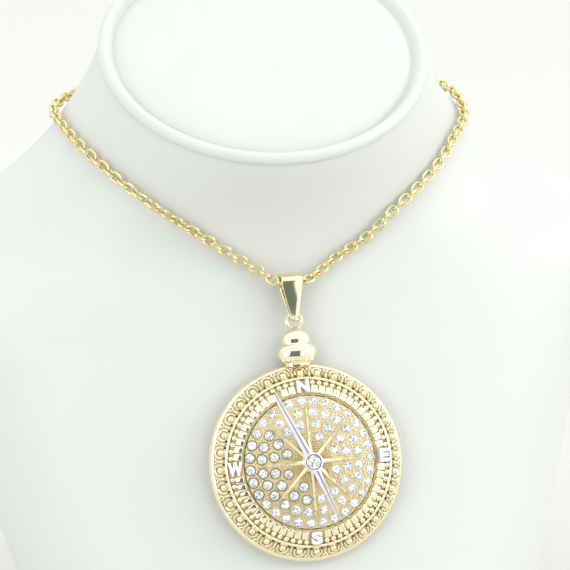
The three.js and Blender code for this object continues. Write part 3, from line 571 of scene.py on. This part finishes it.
# Ring of blocks and beads. It is cast in gold inside the wire ring: sixty bricks and seventy-two
# beads, left out where the letters and the needle's tip stand.
DOME_TOP = 9.4 * MM
DOME_EDGE = 5.7 * MM
FACE_EDGE = 20.45 * MM
RING_INNER = 17.05 * MM
BLOCKS = 60
BEADS = 72
BLOCK_RADIUS = 18.35 * MM
BLOCK_SIZE = (1.8 * MM, 2.2 * MM, 1.1 * MM)
BLOCK_BEVEL = 0.24 * MM
BLOCK_LIFT = 0.25 * MM
BEAD_ROW_RADIUS = 20.0 * MM
BEAD_RADIUS = 0.74 * MM
BEAD_SCALE = (1.08, 1.0, 0.42)
BEAD_LIFT = 0.36 * MM
PIT_GRAIN_RADIUS = 0.26 * MM
PIT_GRAIN_INSET = 0.12 * MM         # from the ring's inner edge outwards
PIT_GRAIN_LIFT = 0.12 * MM
RING_GROUND_LOWEST = 5.0 * MM
# share of painted shade on the ring's top between the blocks and beads
RING_PAINTED_SHADE = 0.8
LETTER_PLACES = {
    # letter: clockwise angle, half the arc it covers at the blocks and at the beads, in degrees
    "letter_n": (0, 7.0, 6.0), "letter_e": (90, 7.0, 6.5),
    "letter_s": (180, 6.2, 5.6), "letter_w": (270, 7.4, 7.0),
}
BLOCK_ROW = 1                       # the rows' places in the list above
BEAD_ROW = 2
NEEDLE_ANGLE = -22.5
NEEDLE_TIP_ARC = 3                  # half the arc of blocks that the needle's tip takes

dome_sag = DOME_TOP - DOME_EDGE
dome_sphere = (FACE_EDGE ** 2 + dome_sag ** 2) / (2 * dome_sag)


def dome_height(radius):
    return DOME_TOP - dome_sphere + math.sqrt(dome_sphere ** 2 - radius ** 2)


def on_dome(radius, angle, lift):
    """Place over the domed face at a distance from the middle and an angle clockwise from N."""
    slope = math.asin(radius / dome_sphere)
    spot = Matrix.Translation((0, radius, dome_height(radius))) @ Matrix.Rotation(-slope, 4, "X")
    return clockwise(angle) @ spot @ Matrix.Translation((0, 0, lift))


def away(angle, other):
    """Degrees between two directions, the short way round."""
    return abs((angle - other + 540) % 360 - 180)


def clear_of_letters(angle, row):
    clear = all(away(angle, spans[0]) > spans[row] for spans in LETTER_PLACES.values())
    return clear and (row == BEAD_ROW or away(angle, NEEDLE_ANGLE) > NEEDLE_TIP_ARC)


ring_profile = [
    # radius and height above the medallion's back, in millimetres
    (17.0, 3.95), (20.7, 3.95), (20.7, 5.6), (18.8, dome_height(18.8 * MM) / MM),
    (17.0, dome_height(17.0 * MM) / MM), (17.0, 3.95),
]
ring_body = turned(ring_profile, 144, ring=True)
# The ring's top, between the blocks and beads, is painted with shade.
paint_shade(ring_body, lambda middle: RING_PAINTED_SHADE if middle.z > RING_GROUND_LOWEST else 0)
ring_parts = [ring_body]

deselect()
bpy.ops.mesh.primitive_cube_add(size=1)
block = bpy.context.object
block.scale = BLOCK_SIZE
apply_place()
edit_all()
bpy.ops.mesh.bevel(offset=BLOCK_BEVEL, segments=3, affect="EDGES")
bpy.ops.object.mode_set(mode="OBJECT")
block_angles = [360 * (i + 0.5) / BLOCKS for i in range(BLOCKS)]
ring_parts += copies(block, [on_dome(BLOCK_RADIUS, angle, BLOCK_LIFT) for angle in block_angles
                             if clear_of_letters(angle, BLOCK_ROW)])

deselect()
bpy.ops.mesh.primitive_uv_sphere_add(segments=14, ring_count=10, radius=BEAD_RADIUS)
bead = bpy.context.object
bead.scale = BEAD_SCALE
bead_angles = [360 * (i + 0.5) / BEADS for i in range(BEADS)]
ring_parts += copies(bead, [on_dome(BEAD_ROW_RADIUS, angle, BEAD_LIFT) for angle in bead_angles
                            if clear_of_letters(angle, BEAD_ROW)])

# A small grain stands at the inner end of each groove between two blocks.
deselect()
bpy.ops.mesh.primitive_uv_sphere_add(segments=8, ring_count=5, radius=PIT_GRAIN_RADIUS)
pit_angles = [360 * i / BLOCKS for i in range(BLOCKS)]
ring_parts += copies(bpy.context.object,
                     [on_dome(RING_INNER + PIT_GRAIN_INSET, angle, PIT_GRAIN_LIFT) for angle in pit_angles
                      if clear_of_letters(angle, BLOCK_ROW)])
degree_ring = tidy(join(ring_parts), "block_and_bead_ring", gold, place=PENDANT_PLACE)
declare(degree_ring, "pendant", "gold", "degree_ring")


# Pave field. A domed gold plate set with seventy-four round cut stones in thin raised rims. Small
# gold beads cover the ground between the stones, the rays and the needle.
STONE_RADIUS = 1.2 * MM
STONE_RISE = 0.55 * MM
STONE_SIDES = 10
STONE_LIFT = 0.12 * MM
STONE_TURN = 7                      # times its angle, so neighbours lie turned differently
OUTER_ROW = 15.45 * MM
OUTER_STONES = 30
OUTER_FIRST_ANGLE = -15.1
OUTER_STEP = 11.76
INNER_ROWS = [
    # radius, offsets from the sector's middle, offsets in the two sectors that the needle crosses
    (12.5, (-14.5, 0, 14.5), (-12, 12)),
    (9.55, (-10.3, 10.3), (-11.3, 11.3)),
    (6.6, (0,), ()),
]
GRAIN_RADIUS = 0.3 * MM
GRAIN_PITCH = 0.66 * MM
GRAIN_ROW_SHARE = 0.87              # distance between rows, as a share of the pitch
GRAIN_COLUMNS = 26                  # to each side of the middle
GRAIN_ROWS_REACH = 16.6 * MM
GRAIN_FIELD_RADIUS = 16.5 * MM
GRAIN_STAND_OFF = 1.54 * MM         # from a stone's middle
GRAIN_LIFT = 0.03 * MM
HUB_CLEARANCE = 3.0 * MM
PLATE_RADIUS = 16.75                # in millimetres, like all profiles
PLATE_BASE = 3.95
PLATE_STEPS = 16
# share of painted shade on the plate's ground between the grains; within the radius below, round the hub,
# the painted shadow is full
PLATE_PAINTED_SHADE = 0.8
HUB_SHADOW_RADIUS = 4.8 * MM
STONE_RIM_RADIUS = 1.33 * MM
STONE_RIM_WIRE = 0.13 * MM
STONE_RIM_LIFT = 0.08 * MM
RAYS = 8
RAY_LENGTH = 13.6 * MM
NEEDLE_NORTH = 19.4 * MM
NEEDLE_SOUTH = 16.4 * MM
# angle, length and half width of what the grains keep clear of
ARMS = [(45 * i, RAY_LENGTH, 0.55 * MM) for i in range(RAYS)]
ARMS += [(NEEDLE_ANGLE, NEEDLE_NORTH, 1.0 * MM), (NEEDLE_ANGLE + 180, NEEDLE_SOUTH, 1.0 * MM)]
GIRDLE_DEPTH = 0.3                  # the cut stone's girdle, as shares of its radius
GIRDLE_DROP = 0.12
# girdle tone: a darker band painted for the shadow and reflections at the stone's seat
GIRDLE_PAINTED_TONE = 0.49
CROWN_START = (0.925, 0.08)         # crown: width against the step below, share of its rise
CROWN_STEPS = [(0.80, 0.42), (0.62, 0.50)]
PAINTED_DARK_SHARE = 0.36                   # of the facets, painted dark as reflections
FIELD_SEED = 3.0
CRYSTAL_PALE = (0.86, 0.865, 0.89, 1)
# the dark painted on the facets as reflections and on the girdle as shade
CRYSTAL_PAINTED_DARK = (0.13, 0.13, 0.18, 1)

stone_spots = [(OUTER_ROW, OUTER_FIRST_ANGLE + i * OUTER_STEP) for i in range(OUTER_STONES)]
for sector in range(RAYS):
    sector_middle = 45 * (sector + 0.5)
    crossed = away(sector_middle, NEEDLE_ANGLE) < 1 or away(sector_middle, NEEDLE_ANGLE + 180) < 1
    for row_radius, offsets, crossed_offsets in INNER_ROWS:
        for offset in crossed_offsets if crossed else offsets:
            stone_spots.append((row_radius * MM, sector_middle + offset))

plate_profile = [(PLATE_RADIUS, PLATE_BASE)]
for step in range(PLATE_STEPS, -1, -1):
    plate_radius = PLATE_RADIUS * step / PLATE_STEPS
    plate_profile.append((plate_radius, dome_height(plate_radius * MM) / MM))
plate_body = turned(plate_profile, 96)
# The plate's ground is painted with shade, fully round the hub as its painted shadow.
paint_shade(plate_body, lambda middle: 1 if middle.xy.length < HUB_SHADOW_RADIUS else PLATE_PAINTED_SHADE)
plate_parts = [plate_body]

deselect()
bpy.ops.mesh.primitive_torus_add(major_segments=20, minor_segments=6,
                                 major_radius=STONE_RIM_RADIUS, minor_radius=STONE_RIM_WIRE)
rim = bpy.context.object
plate_parts += copies(rim, [on_dome(radius, angle, STONE_RIM_LIFT) for radius, angle in stone_spots])


def on_face(radius, angle):
    return Vector((radius * math.sin(math.radians(angle)), radius * math.cos(math.radians(angle))))


def under_arm(spot):
    """Whether a grain at the spot would touch a ray, the needle or the hub."""
    for angle, length, half_width in ARMS:
        along = spot.dot(on_face(1, angle))
        if 0 < along < length and (spot - on_face(along, angle)).length < half_width + GRAIN_RADIUS:
            return True
    return spot.length < HUB_CLEARANCE


# Grains fill the ground between the stones, rays and needle, on close rows.
stone_middles = [on_face(radius, angle) for radius, angle in stone_spots]
grain_spots = []
grain_rows = int(GRAIN_ROWS_REACH / (GRAIN_PITCH * GRAIN_ROW_SHARE))
for row in range(-grain_rows, grain_rows + 1):
    for column in range(-GRAIN_COLUMNS, GRAIN_COLUMNS + 1):
        spot = Vector(((column + (row % 2) / 2) * GRAIN_PITCH, row * GRAIN_PITCH * GRAIN_ROW_SHARE))
        beside_stone = any((spot - middle).length < GRAIN_STAND_OFF for middle in stone_middles)
        if spot.length < GRAIN_FIELD_RADIUS and not beside_stone and not under_arm(spot):
            angle = math.degrees(math.atan2(spot.x, spot.y))
            grain_spots.append(on_dome(spot.length, angle, GRAIN_LIFT))
deselect()
bpy.ops.mesh.primitive_uv_sphere_add(segments=8, ring_count=5, radius=GRAIN_RADIUS)
plate_parts += copies(bpy.context.object, grain_spots)
plate = tidy(join(plate_parts), "pave_plate", gold, place=PENDANT_PLACE)
declare(plate, "pendant", "pave", "stone_dial")


def brilliant(radius, rise, sides):
    """Round cut stone: a girdle painted dark for the shadow and reflections at its seat, two rings of
    crown facets turned by half a side, and a table that is split like the pavilion facets seen through it."""
    deselect()
    bpy.ops.mesh.primitive_cylinder_add(vertices=sides, radius=radius, depth=radius * GIRDLE_DEPTH,
                                        location=(0, 0, -radius * GIRDLE_DROP))
    cut = bpy.context.object
    apply_place()
    bpy.ops.object.mode_set(mode="EDIT")
    bpy.ops.mesh.select_all(action="DESELECT")
    bpy.ops.object.mode_set(mode="OBJECT")
    for face in cut.data.polygons:
        face.select = face.normal.z > 0.9
    bpy.ops.object.mode_set(mode="EDIT")
    extrude((0, 0, rise * CROWN_START[1]))
    bpy.ops.transform.resize(value=(CROWN_START[0], CROWN_START[0], 1))
    for scale, lift in CROWN_STEPS:
        extrude((0, 0, rise * lift))
        bpy.ops.transform.resize(value=(scale, scale, 1))
        bpy.ops.transform.rotate(value=math.pi / sides, orient_axis="Z", center_override=(0, 0, 0))
    bpy.ops.mesh.poke()
    bpy.ops.mesh.select_all(action="SELECT")
    bpy.ops.mesh.quads_convert_to_tris(quad_method="SHORTEST_DIAGONAL")
    bpy.ops.object.mode_set(mode="OBJECT")
    # The table and crown start pale; the outer band at the girdle gets the painted darker tone.
    tones = cut.data.attributes.new("painted_facet_light", "FLOAT", "FACE")
    for face in cut.data.polygons:
        tones.data[face.index].value = 1.0 if face.center.xy.length < 0.9 * radius else GIRDLE_PAINTED_TONE
    return cut


def crystal_material(name, pale, shade):
    """Clear cut stone: each facet has a painted tone for the reflection it shows, from the cut's facet
    attribute, under a hard gloss.
    """
    finish = bpy.data.materials.new(name)
    finish.use_nodes = True
    tree = finish.node_tree
    shader = tree.nodes["Principled BSDF"]
    shader.inputs["Roughness"].default_value = 0.08
    shader.inputs["IOR"].default_value = 1.7
    shader.inputs["Coat Weight"].default_value = 0.3
    shader.inputs["Coat Roughness"].default_value = 0.02
    facet_light = add_node(tree, "ShaderNodeAttribute", attribute_name="painted_facet_light")
    tone = add_node(tree, "ShaderNodeMix", data_type="RGBA")
    tone.inputs["A"].default_value = shade
    tone.inputs["B"].default_value = pale
    tree.links.new(facet_light.outputs["Fac"], tone.inputs["Factor"])
    tree.links.new(tone.outputs["Result"], shader.inputs["Base Color"])
    return finish


def paint_facet_reflections(obj, seed):
    """Gives every facet but the girdle's a painted reflection tone of its own, nearly pale or dark, drawn
    from its number in the mesh. Runs can number the facets in another order, and then the pattern of tones
    differs too."""
    tones = obj.data.attributes["painted_facet_light"]
    for face in obj.data.polygons:
        if tones.data[face.index].value > 0.5:
            wave = math.sin(face.index * 12.9898 + seed) * 43758.5453
            share = wave - math.floor(wave)
            tones.data[face.index].value = 0.9 + 0.1 * share if share > PAINTED_DARK_SHARE else 0.1 + share


crystal = crystal_material("clear_crystal", CRYSTAL_PALE, CRYSTAL_PAINTED_DARK)
stone_places = [on_dome(radius, angle, STONE_LIFT) @ clockwise(STONE_TURN * angle)
                for radius, angle in stone_spots]
field = join(copies(brilliant(STONE_RADIUS, STONE_RISE, STONE_SIDES), stone_places))
tidy(field, "pave_stones", crystal, place=PENDANT_PLACE, angle=1)
paint_facet_reflections(field, FIELD_SEED)
declare(field, "pendant", "crystal")


# Compass rose. Eight ridged gold rays soldered to a hub, each tapering to a point over the dome.
RAY_ROOT = 1.2 * MM
RAY_HALF_WIDTH = 0.56 * MM
RAY_RISE = 0.46 * MM
RAY_LIFT = 0.40 * MM
RAY_TIP_SHARE = 0.3
HUB_PROFILE = [(2.5, 9.2), (2.5, 10.3), (2.2, 10.5), (0, 10.5)]      # radius and height, in millimetres
GROOVE_WIDTH = 0.3                  # the groove on a ridge one high and one wide to each side
GROOVE_LIP_RISE = 0.29
GROOVE_DEPTH = 0.5
# half width of the painted shade strip on the groove's floor, as a share of the arm's half width
GROOVE_PAINTED_SHADE_SHARE = 0.22


def ridge(root, tip, half_width, rise, base_height, tip_share, steps=7, groove=False):
    """A ridged arm: a small block is extruded outwards and narrowed step by step. A groove runs along the
    ridge if asked for, its floor painted with shade."""
    deselect()
    bpy.ops.mesh.primitive_circle_add(vertices=8 if groove else 4, radius=1, fill_type="NGON")
    arm = bpy.context.object
    arm.rotation_euler = (math.pi / 2, 0, 0)
    apply_place()
    if groove:
        pick(arm, lambda corner: 0.5 < corner.z < 0.9)
        bpy.ops.transform.resize(value=(GROOVE_WIDTH, 1, 1), center_override=(0, 0, 0))
        bpy.ops.transform.translate(value=(0, 0, GROOVE_LIP_RISE))
        pick(arm, lambda corner: abs(corner.x) < 0.01 and corner.z > 0.95)
        bpy.ops.transform.translate(value=(0, 0, -GROOVE_DEPTH))
        bpy.ops.object.mode_set(mode="OBJECT")
    edit_all()
    bpy.ops.transform.resize(value=(half_width, 1, rise), center_override=(0, 0, 0))
    start = Vector((0, root, base_height(root)))
    bpy.ops.transform.translate(value=start)
    for step in range(1, steps + 1):
        reach = root + (tip - root) * step / steps
        spot = Vector((0, reach, base_height(reach)))
        extrude(spot - start)
        taper = 1 - tip_share
        ratio = (1 - taper * step / steps) / (1 - taper * (step - 1) / steps)
        bpy.ops.transform.resize(value=(ratio, 1, 0.5 + ratio / 2), center_override=spot)
        start = spot
    bpy.ops.object.mode_set(mode="OBJECT")
    # The groove's floor is painted with shade; an arm without a groove gets none.
    painted_groove_half_width = GROOVE_PAINTED_SHADE_SHARE * half_width
    paint_shade(arm, lambda middle: 1 if groove and abs(middle.x) < painted_groove_half_width else 0)
    return arm


rose_parts = copies(ridge(RAY_ROOT, RAY_LENGTH, RAY_HALF_WIDTH, RAY_RISE,
                          lambda reach: dome_height(reach) + RAY_LIFT, RAY_TIP_SHARE),
                    [clockwise(45 * i) for i in range(RAYS)])
rose_parts.append(turned(HUB_PROFILE, 48))
rose = tidy(join(rose_parts), "rose_of_rays", gold, place=PENDANT_PLACE, angle=25)
declare(rose, "pendant", "gold", "compass_rose")


# Needle. White metal, ridged along its middle, with a longer north arm, fixed over the rose with a
# smooth bezel cup that holds the large centre stone.
WHITE_LIGHT = (0.86, 0.855, 0.89, 1)
WHITE_DEEP = (0.80, 0.795, 0.86, 1)
# painted shade colour in the needle's groove
WHITE_PAINTED_SHADE = (0.50, 0.50, 0.62, 1)
NEEDLE_HALF_WIDTH = 1.12 * MM
NEEDLE_RISE = 0.7 * MM
NEEDLE_ROOT = 1.0 * MM
NEEDLE_MIDDLE_HEIGHT = 10.55 * MM
NEEDLE_FALL = 0.205                 # how steeply the arms fall outwards
NORTH_TIP_SHARE = 0.48
SOUTH_TIP_SHARE = 0.28
CENTRE_RADIUS = 1.84 * MM
CENTRE_RISE = 0.8 * MM
CENTRE_SIDES = 12
CENTRE_HEIGHT = 11.75 * MM
CENTRE_SEED = 8.0
BEZEL_PROFILE = [
    # radius and height of the cup, inside and out, in millimetres
    (1.85, 11.1), (1.95, 11.75), (2.05, 12.1), (2.2, 12.2), (2.36, 12.1), (2.45, 11.8), (2.45, 10.9),
    (1.85, 10.9), (1.85, 11.1),
]

white_metal = finish_material("white_metal_plate", (WHITE_LIGHT, WHITE_DEEP), roughness=0.16,
                              grain=1500.0, bump=0.03, bump_depth=0.0001, metallic=0.55,
                              spread=0.35, painted_shade=WHITE_PAINTED_SHADE)


def needle_height(reach):
    return NEEDLE_MIDDLE_HEIGHT - NEEDLE_FALL * (reach - NEEDLE_ROOT)


north_arm = ridge(NEEDLE_ROOT, NEEDLE_NORTH, NEEDLE_HALF_WIDTH, NEEDLE_RISE, needle_height,
                  NORTH_TIP_SHARE, steps=2, groove=True)
south_arm = ridge(NEEDLE_ROOT, NEEDLE_SOUTH, NEEDLE_HALF_WIDTH, NEEDLE_RISE, needle_height,
                  SOUTH_TIP_SHARE, steps=2, groove=True)
south_arm.matrix_world = clockwise(180)
needle_parts = [north_arm, south_arm, turned(BEZEL_PROFILE, 64, ring=True)]
needle = tidy(join(needle_parts), "needle_and_bezel", white_metal,
              place=PENDANT_PLACE @ clockwise(NEEDLE_ANGLE), angle=25)
declare(needle, "pendant", "white_metal", "needle")

centre = brilliant(CENTRE_RADIUS, CENTRE_RISE, CENTRE_SIDES)
centre_place = PENDANT_PLACE @ Matrix.Translation((0, 0, CENTRE_HEIGHT))
tidy(centre, "centre_brilliant", crystal, place=centre_place, angle=1)
paint_facet_reflections(centre, CENTRE_SEED)
declare(centre, "pendant", "crystal", "centre_stone")


# Letters. Four cut-out white metal initials of the compass points, bold with softened edges,
# standing in the gaps of the block ring.
LETTER_RADIUS = 18.85 * MM
LETTER_LIFT = 0.85 * MM
LETTER_DEPTH = 1.15 * MM
LETTER_SIZES = {
    # letter: width and height in millimetres
    "letter_n": (3.3, 3.4), "letter_e": (3.1, 3.5), "letter_s": (2.9, 3.5), "letter_w": (3.9, 3.5),
}

for letter_node, (letter_angle, _, _) in LETTER_PLACES.items():
    deselect()
    bpy.ops.object.text_add()
    letter = bpy.context.object
    letter.data.body = letter_node[-1].upper()
    letter.data.align_x = "CENTER"
    letter.data.align_y = "CENTER"
    letter.data.offset = 0.02
    letter.data.extrude = 0.12
    letter.data.bevel_depth = 0.045
    letter.data.bevel_resolution = 0
    letter.data.resolution_u = 6
    bpy.ops.object.convert(target="MESH")
    letter = bpy.context.object
    bpy.ops.object.origin_set(type="ORIGIN_GEOMETRY", center="BOUNDS")
    letter_width, letter_height = LETTER_SIZES[letter_node]
    letter.location = (0, 0, 0)
    letter.scale = (letter_width * MM / letter.dimensions.x, letter_height * MM / letter.dimensions.y,
                    LETTER_DEPTH / letter.dimensions.z)
    apply_place()
    upright = on_dome(LETTER_RADIUS, letter_angle, LETTER_LIFT) @ clockwise(-letter_angle)
    tidy(letter, letter_node + "_metal", white_metal, place=PENDANT_PLACE @ upright, angle=30)
    declare(letter, "pendant", "white_metal", letter_node)


# Bail. A polished gold strap, wide at the top and narrow at the bottom, folded over the chain and
# through the finial's loop. It starts as an open tube whose lower half is drawn down and narrowed.
BAIL_TOP_RADIUS = 2.55 * MM
BAIL_BOTTOM_RADIUS = 1.95 * MM
BAIL_STRAP = 0.6 * MM
BAIL_BOTTOM_STRAP = 1.15 * MM
BAIL_TOP_WIDTH = 5.45 * MM
BAIL_BOTTOM_WIDTH = 2.2 * MM
BAIL_FOLD = 0.25                    # the lower half starts this share of the radius below the axis
BAIL_EDGE = 0.2 * MM

bail_span = (BAIL_AXIS - LOOP_AXIS).length
deselect()
bpy.ops.mesh.primitive_cylinder_add(vertices=64, radius=BAIL_TOP_RADIUS, depth=BAIL_TOP_WIDTH,
                                    end_fill_type="NOTHING", rotation=(0, math.pi / 2, 0))
bail = bpy.context.object
apply_place()
pick(bail, lambda corner: corner.y < -BAIL_FOLD * BAIL_TOP_RADIUS)
width_ratio = BAIL_BOTTOM_WIDTH / BAIL_TOP_WIDTH
bottom_ratio = BAIL_BOTTOM_RADIUS / BAIL_TOP_RADIUS
bpy.ops.transform.resize(value=(width_ratio, bottom_ratio, bottom_ratio), center_override=(0, 0, 0))
bpy.ops.transform.translate(value=(0, -bail_span, 0))
bpy.ops.object.mode_set(mode="OBJECT")
apply_modifier(bail, "SOLIDIFY", thickness=BAIL_STRAP, offset=-1)
pick(bail, lambda corner: corner.y < -bail_span / 2
     and math.hypot(corner.y + bail_span, corner.z) < BAIL_BOTTOM_RADIUS - BAIL_STRAP / 2)
hollow_ratio = (BAIL_BOTTOM_RADIUS - BAIL_BOTTOM_STRAP) / (BAIL_BOTTOM_RADIUS - BAIL_STRAP)
bpy.ops.transform.resize(value=(1, hollow_ratio, hollow_ratio), center_override=(0, -bail_span, 0))
bpy.ops.object.mode_set(mode="OBJECT")
apply_modifier(bail, "BEVEL", width=BAIL_EDGE, segments=3, limit_method="ANGLE",
               angle_limit=math.radians(50))
bail_place = PENDANT_PLACE @ Matrix.Translation((0, LOOP_DISTANCE + bail_span, PENDANT_DEPTH))
tidy(bail, "folded_bail", gold, place=bail_place, angle=40)
declare(bail, "bail", "gold", "bail")


# Chain. Oval cable links of round gold wire, each turned a quarter from the last, closed behind the
# neck by a plain barrel clasp. The route is the frame's own, from beside the bail round to the clasp.
CHAIN_ROUTE = {
    "right": [
        (6.4, -6.6, 105.7), (13.1, -4.2, 109.3), (21.5, -2.5, 113.5), (29.1, -0.5, 119.4),
        (36.6, 2.8, 124.2), (43.9, 8.1, 128.8), (49.6, 14.8, 133), (53.8, 21.3, 135), (56.2, 29, 136.8),
        (55.8, 38.8, 138.6), (51, 47.7, 139.8), (41, 54.8, 141), (29, 59.4, 142), (17, 61.9, 142.7),
    ],
    "left": [
        (-6.4, -6.1, 106.9), (-11.5, -4.3, 110), (-18.9, -2.7, 114.9), (-27.9, -0.9, 121),
        (-34.2, 1.5, 125.4), (-41.2, 6.3, 130.3), (-47.7, 14.1, 135.3), (-51.4, 21.3, 138.2),
        (-53.6, 29, 140), (-54.4, 36.7, 140.7), (-50.8, 45.5, 141.3), (-40.4, 54.5, 142),
        (-28.9, 59.3, 142.5), (-16.9, 61.8, 142.8),
    ],
}
CLASP_PLACE = Vector((0, 63.4, 143.2)) * MM
CLASP_LENGTH = 9 * MM
CLASP_OVERLAP = 1.0 * MM            # how far the last link reaches into the clasp
CLASP_PROFILE = [
    # radius and distance from the clasp's middle, in millimetres
    (0.6, -4.5), (1.1, -4.4), (1.35, -4.1), (1.35, -3.7), (1.15, -3.5), (1.55, -3.2), (1.72, -2.4),
    (1.8, 0.0), (1.72, 2.4), (1.55, 3.2), (1.15, 3.5), (1.35, 3.7), (1.35, 4.1), (1.1, 4.4), (0.6, 4.5),
]
BAIL_CROSSING = 2.75 * MM           # how far to each side the chain runs level through the bail
CHAIN_LIGHT = (0.86, 0.755, 0.44, 1)
CHAIN_DEEP = (0.78, 0.65, 0.32, 1)
TURNS = {"right": -36, "left": 0}   # how far each half lies turned about itself, in degrees
TWISTS = {"right": 0, "left": -30}  # how much further it is twisted near one link
TWIST_MIDDLE = 16                   # that link, counted from the bail
TWIST_SPREAD = 2.8                  # links
SWAY = 6                            # degrees that each link lies off its regular turn
SWAY_RATE = 2.7
LINK_LENGTH = 4.05 * MM
LINK_WIDTH = 3.1 * MM
LINK_WIRE = 0.78 * MM
LINK_PITCH = 2.42 * MM
LINK_SETTLE = 0.45 * MM             # how much nearer the leatherette the links lie than the route
SETTLE_START = 5 * MM               # from the middle, where they begin to


def smooth_route(points, steps=24):
    """Points along a smooth line through the route, close enough to walk by distance."""
    line = []
    ends = [points[0] * 2 - points[1], *points, points[-1] * 2 - points[-2]]
    for i in range(1, len(ends) - 2):
        a, b, c, d = ends[i - 1:i + 3]
        for step in range(steps):
            t = step / steps
            line.append(0.5 * (2 * b + (c - a) * t + (2 * a - 5 * b + 4 * c - d) * t ** 2
                               + (3 * b - a - 3 * c + d) * t ** 3))
    return line + [points[-1]]


def walk(line, pitch):
    """Places along the line a pitch apart, each with the line's direction there."""
    places = []
    travelled = 0.0
    wanted = 0.0
    for a, b in zip(line, line[1:]):
        span = (b - a).length
        while wanted <= travelled + span:
            places.append((a.lerp(b, (wanted - travelled) / span), (b - a).normalized()))
            wanted += pitch
        travelled += span
    return places


halves = {}
for side, name in ((1, "right"), (-1, "left")):
    points = [BAIL_AXIS, BAIL_AXIS + Vector((side * BAIL_CROSSING, 0, 0))]
    points += [Vector(point) * MM for point in CHAIN_ROUTE[name]]
    points.append(CLASP_PLACE + Vector((side * (CLASP_LENGTH / 2 - CLASP_OVERLAP), 0, 0)))
    halves[name] = smooth_route(points)

deselect()
bpy.ops.mesh.primitive_torus_add(major_segments=20, minor_segments=8,
                                 major_radius=(LINK_WIDTH - LINK_WIRE) / 2, minor_radius=LINK_WIRE / 2)
link = bpy.context.object
for side in (-1, 1):
    pick(link, lambda corner: corner.x * side > 1e-5)
    bpy.ops.transform.translate(value=(side * (LINK_LENGTH - LINK_WIDTH) / 2, 0, 0))
bpy.ops.object.mode_set(mode="OBJECT")

chain_gold = finish_material("chain_gold_plate", (CHAIN_LIGHT, CHAIN_DEEP), roughness=0.14, grain=1500.0,
                             bump=0.04, bump_depth=0.0001, metallic=1.0, spread=0.35)
link_matrices = []
for name, half in halves.items():
    half_length = sum((b - a).length for a, b in zip(half, half[1:]))
    link_count = round(half_length / LINK_PITCH)
    first = 1 if name == "left" else 0      # both halves start at the link in the bail
    for index, (spot, along) in enumerate(walk(half, half_length / link_count)):
        if index < first:
            continue
        outward = shell.closest_point_on_mesh(spot)[2]
        outward = (outward - outward.dot(along) * along).normalized()
        spot = spot - outward * LINK_SETTLE * min(1, max(0, abs(spot.x) / SETTLE_START - 1))
        turn = Matrix((along, outward.cross(along), outward)).transposed().to_4x4()
        twist = TWISTS[name] * math.exp(-((index - TWIST_MIDDLE) / TWIST_SPREAD) ** 2)
        twist += TURNS[name] + SWAY * math.sin(SWAY_RATE * index)
        quarter = Matrix.Rotation(math.radians(twist + (90 if index % 2 else 0)), 4, "X")
        link_matrices.append(Matrix.Translation(spot) @ turn @ quarter)
links = tidy(join(copies(link, link_matrices)), "chain_links", chain_gold, angle=60)
declare(links, "root", "gold", "chain")

barrel = turned(CLASP_PROFILE, 40)
barrel_place = Matrix.Translation(CLASP_PLACE) @ Matrix.Rotation(math.pi / 2, 4, "Y")
tidy(barrel, "barrel_clasp", chain_gold, place=barrel_place, angle=30)
declare(barrel, "root", "gold", "clasp")
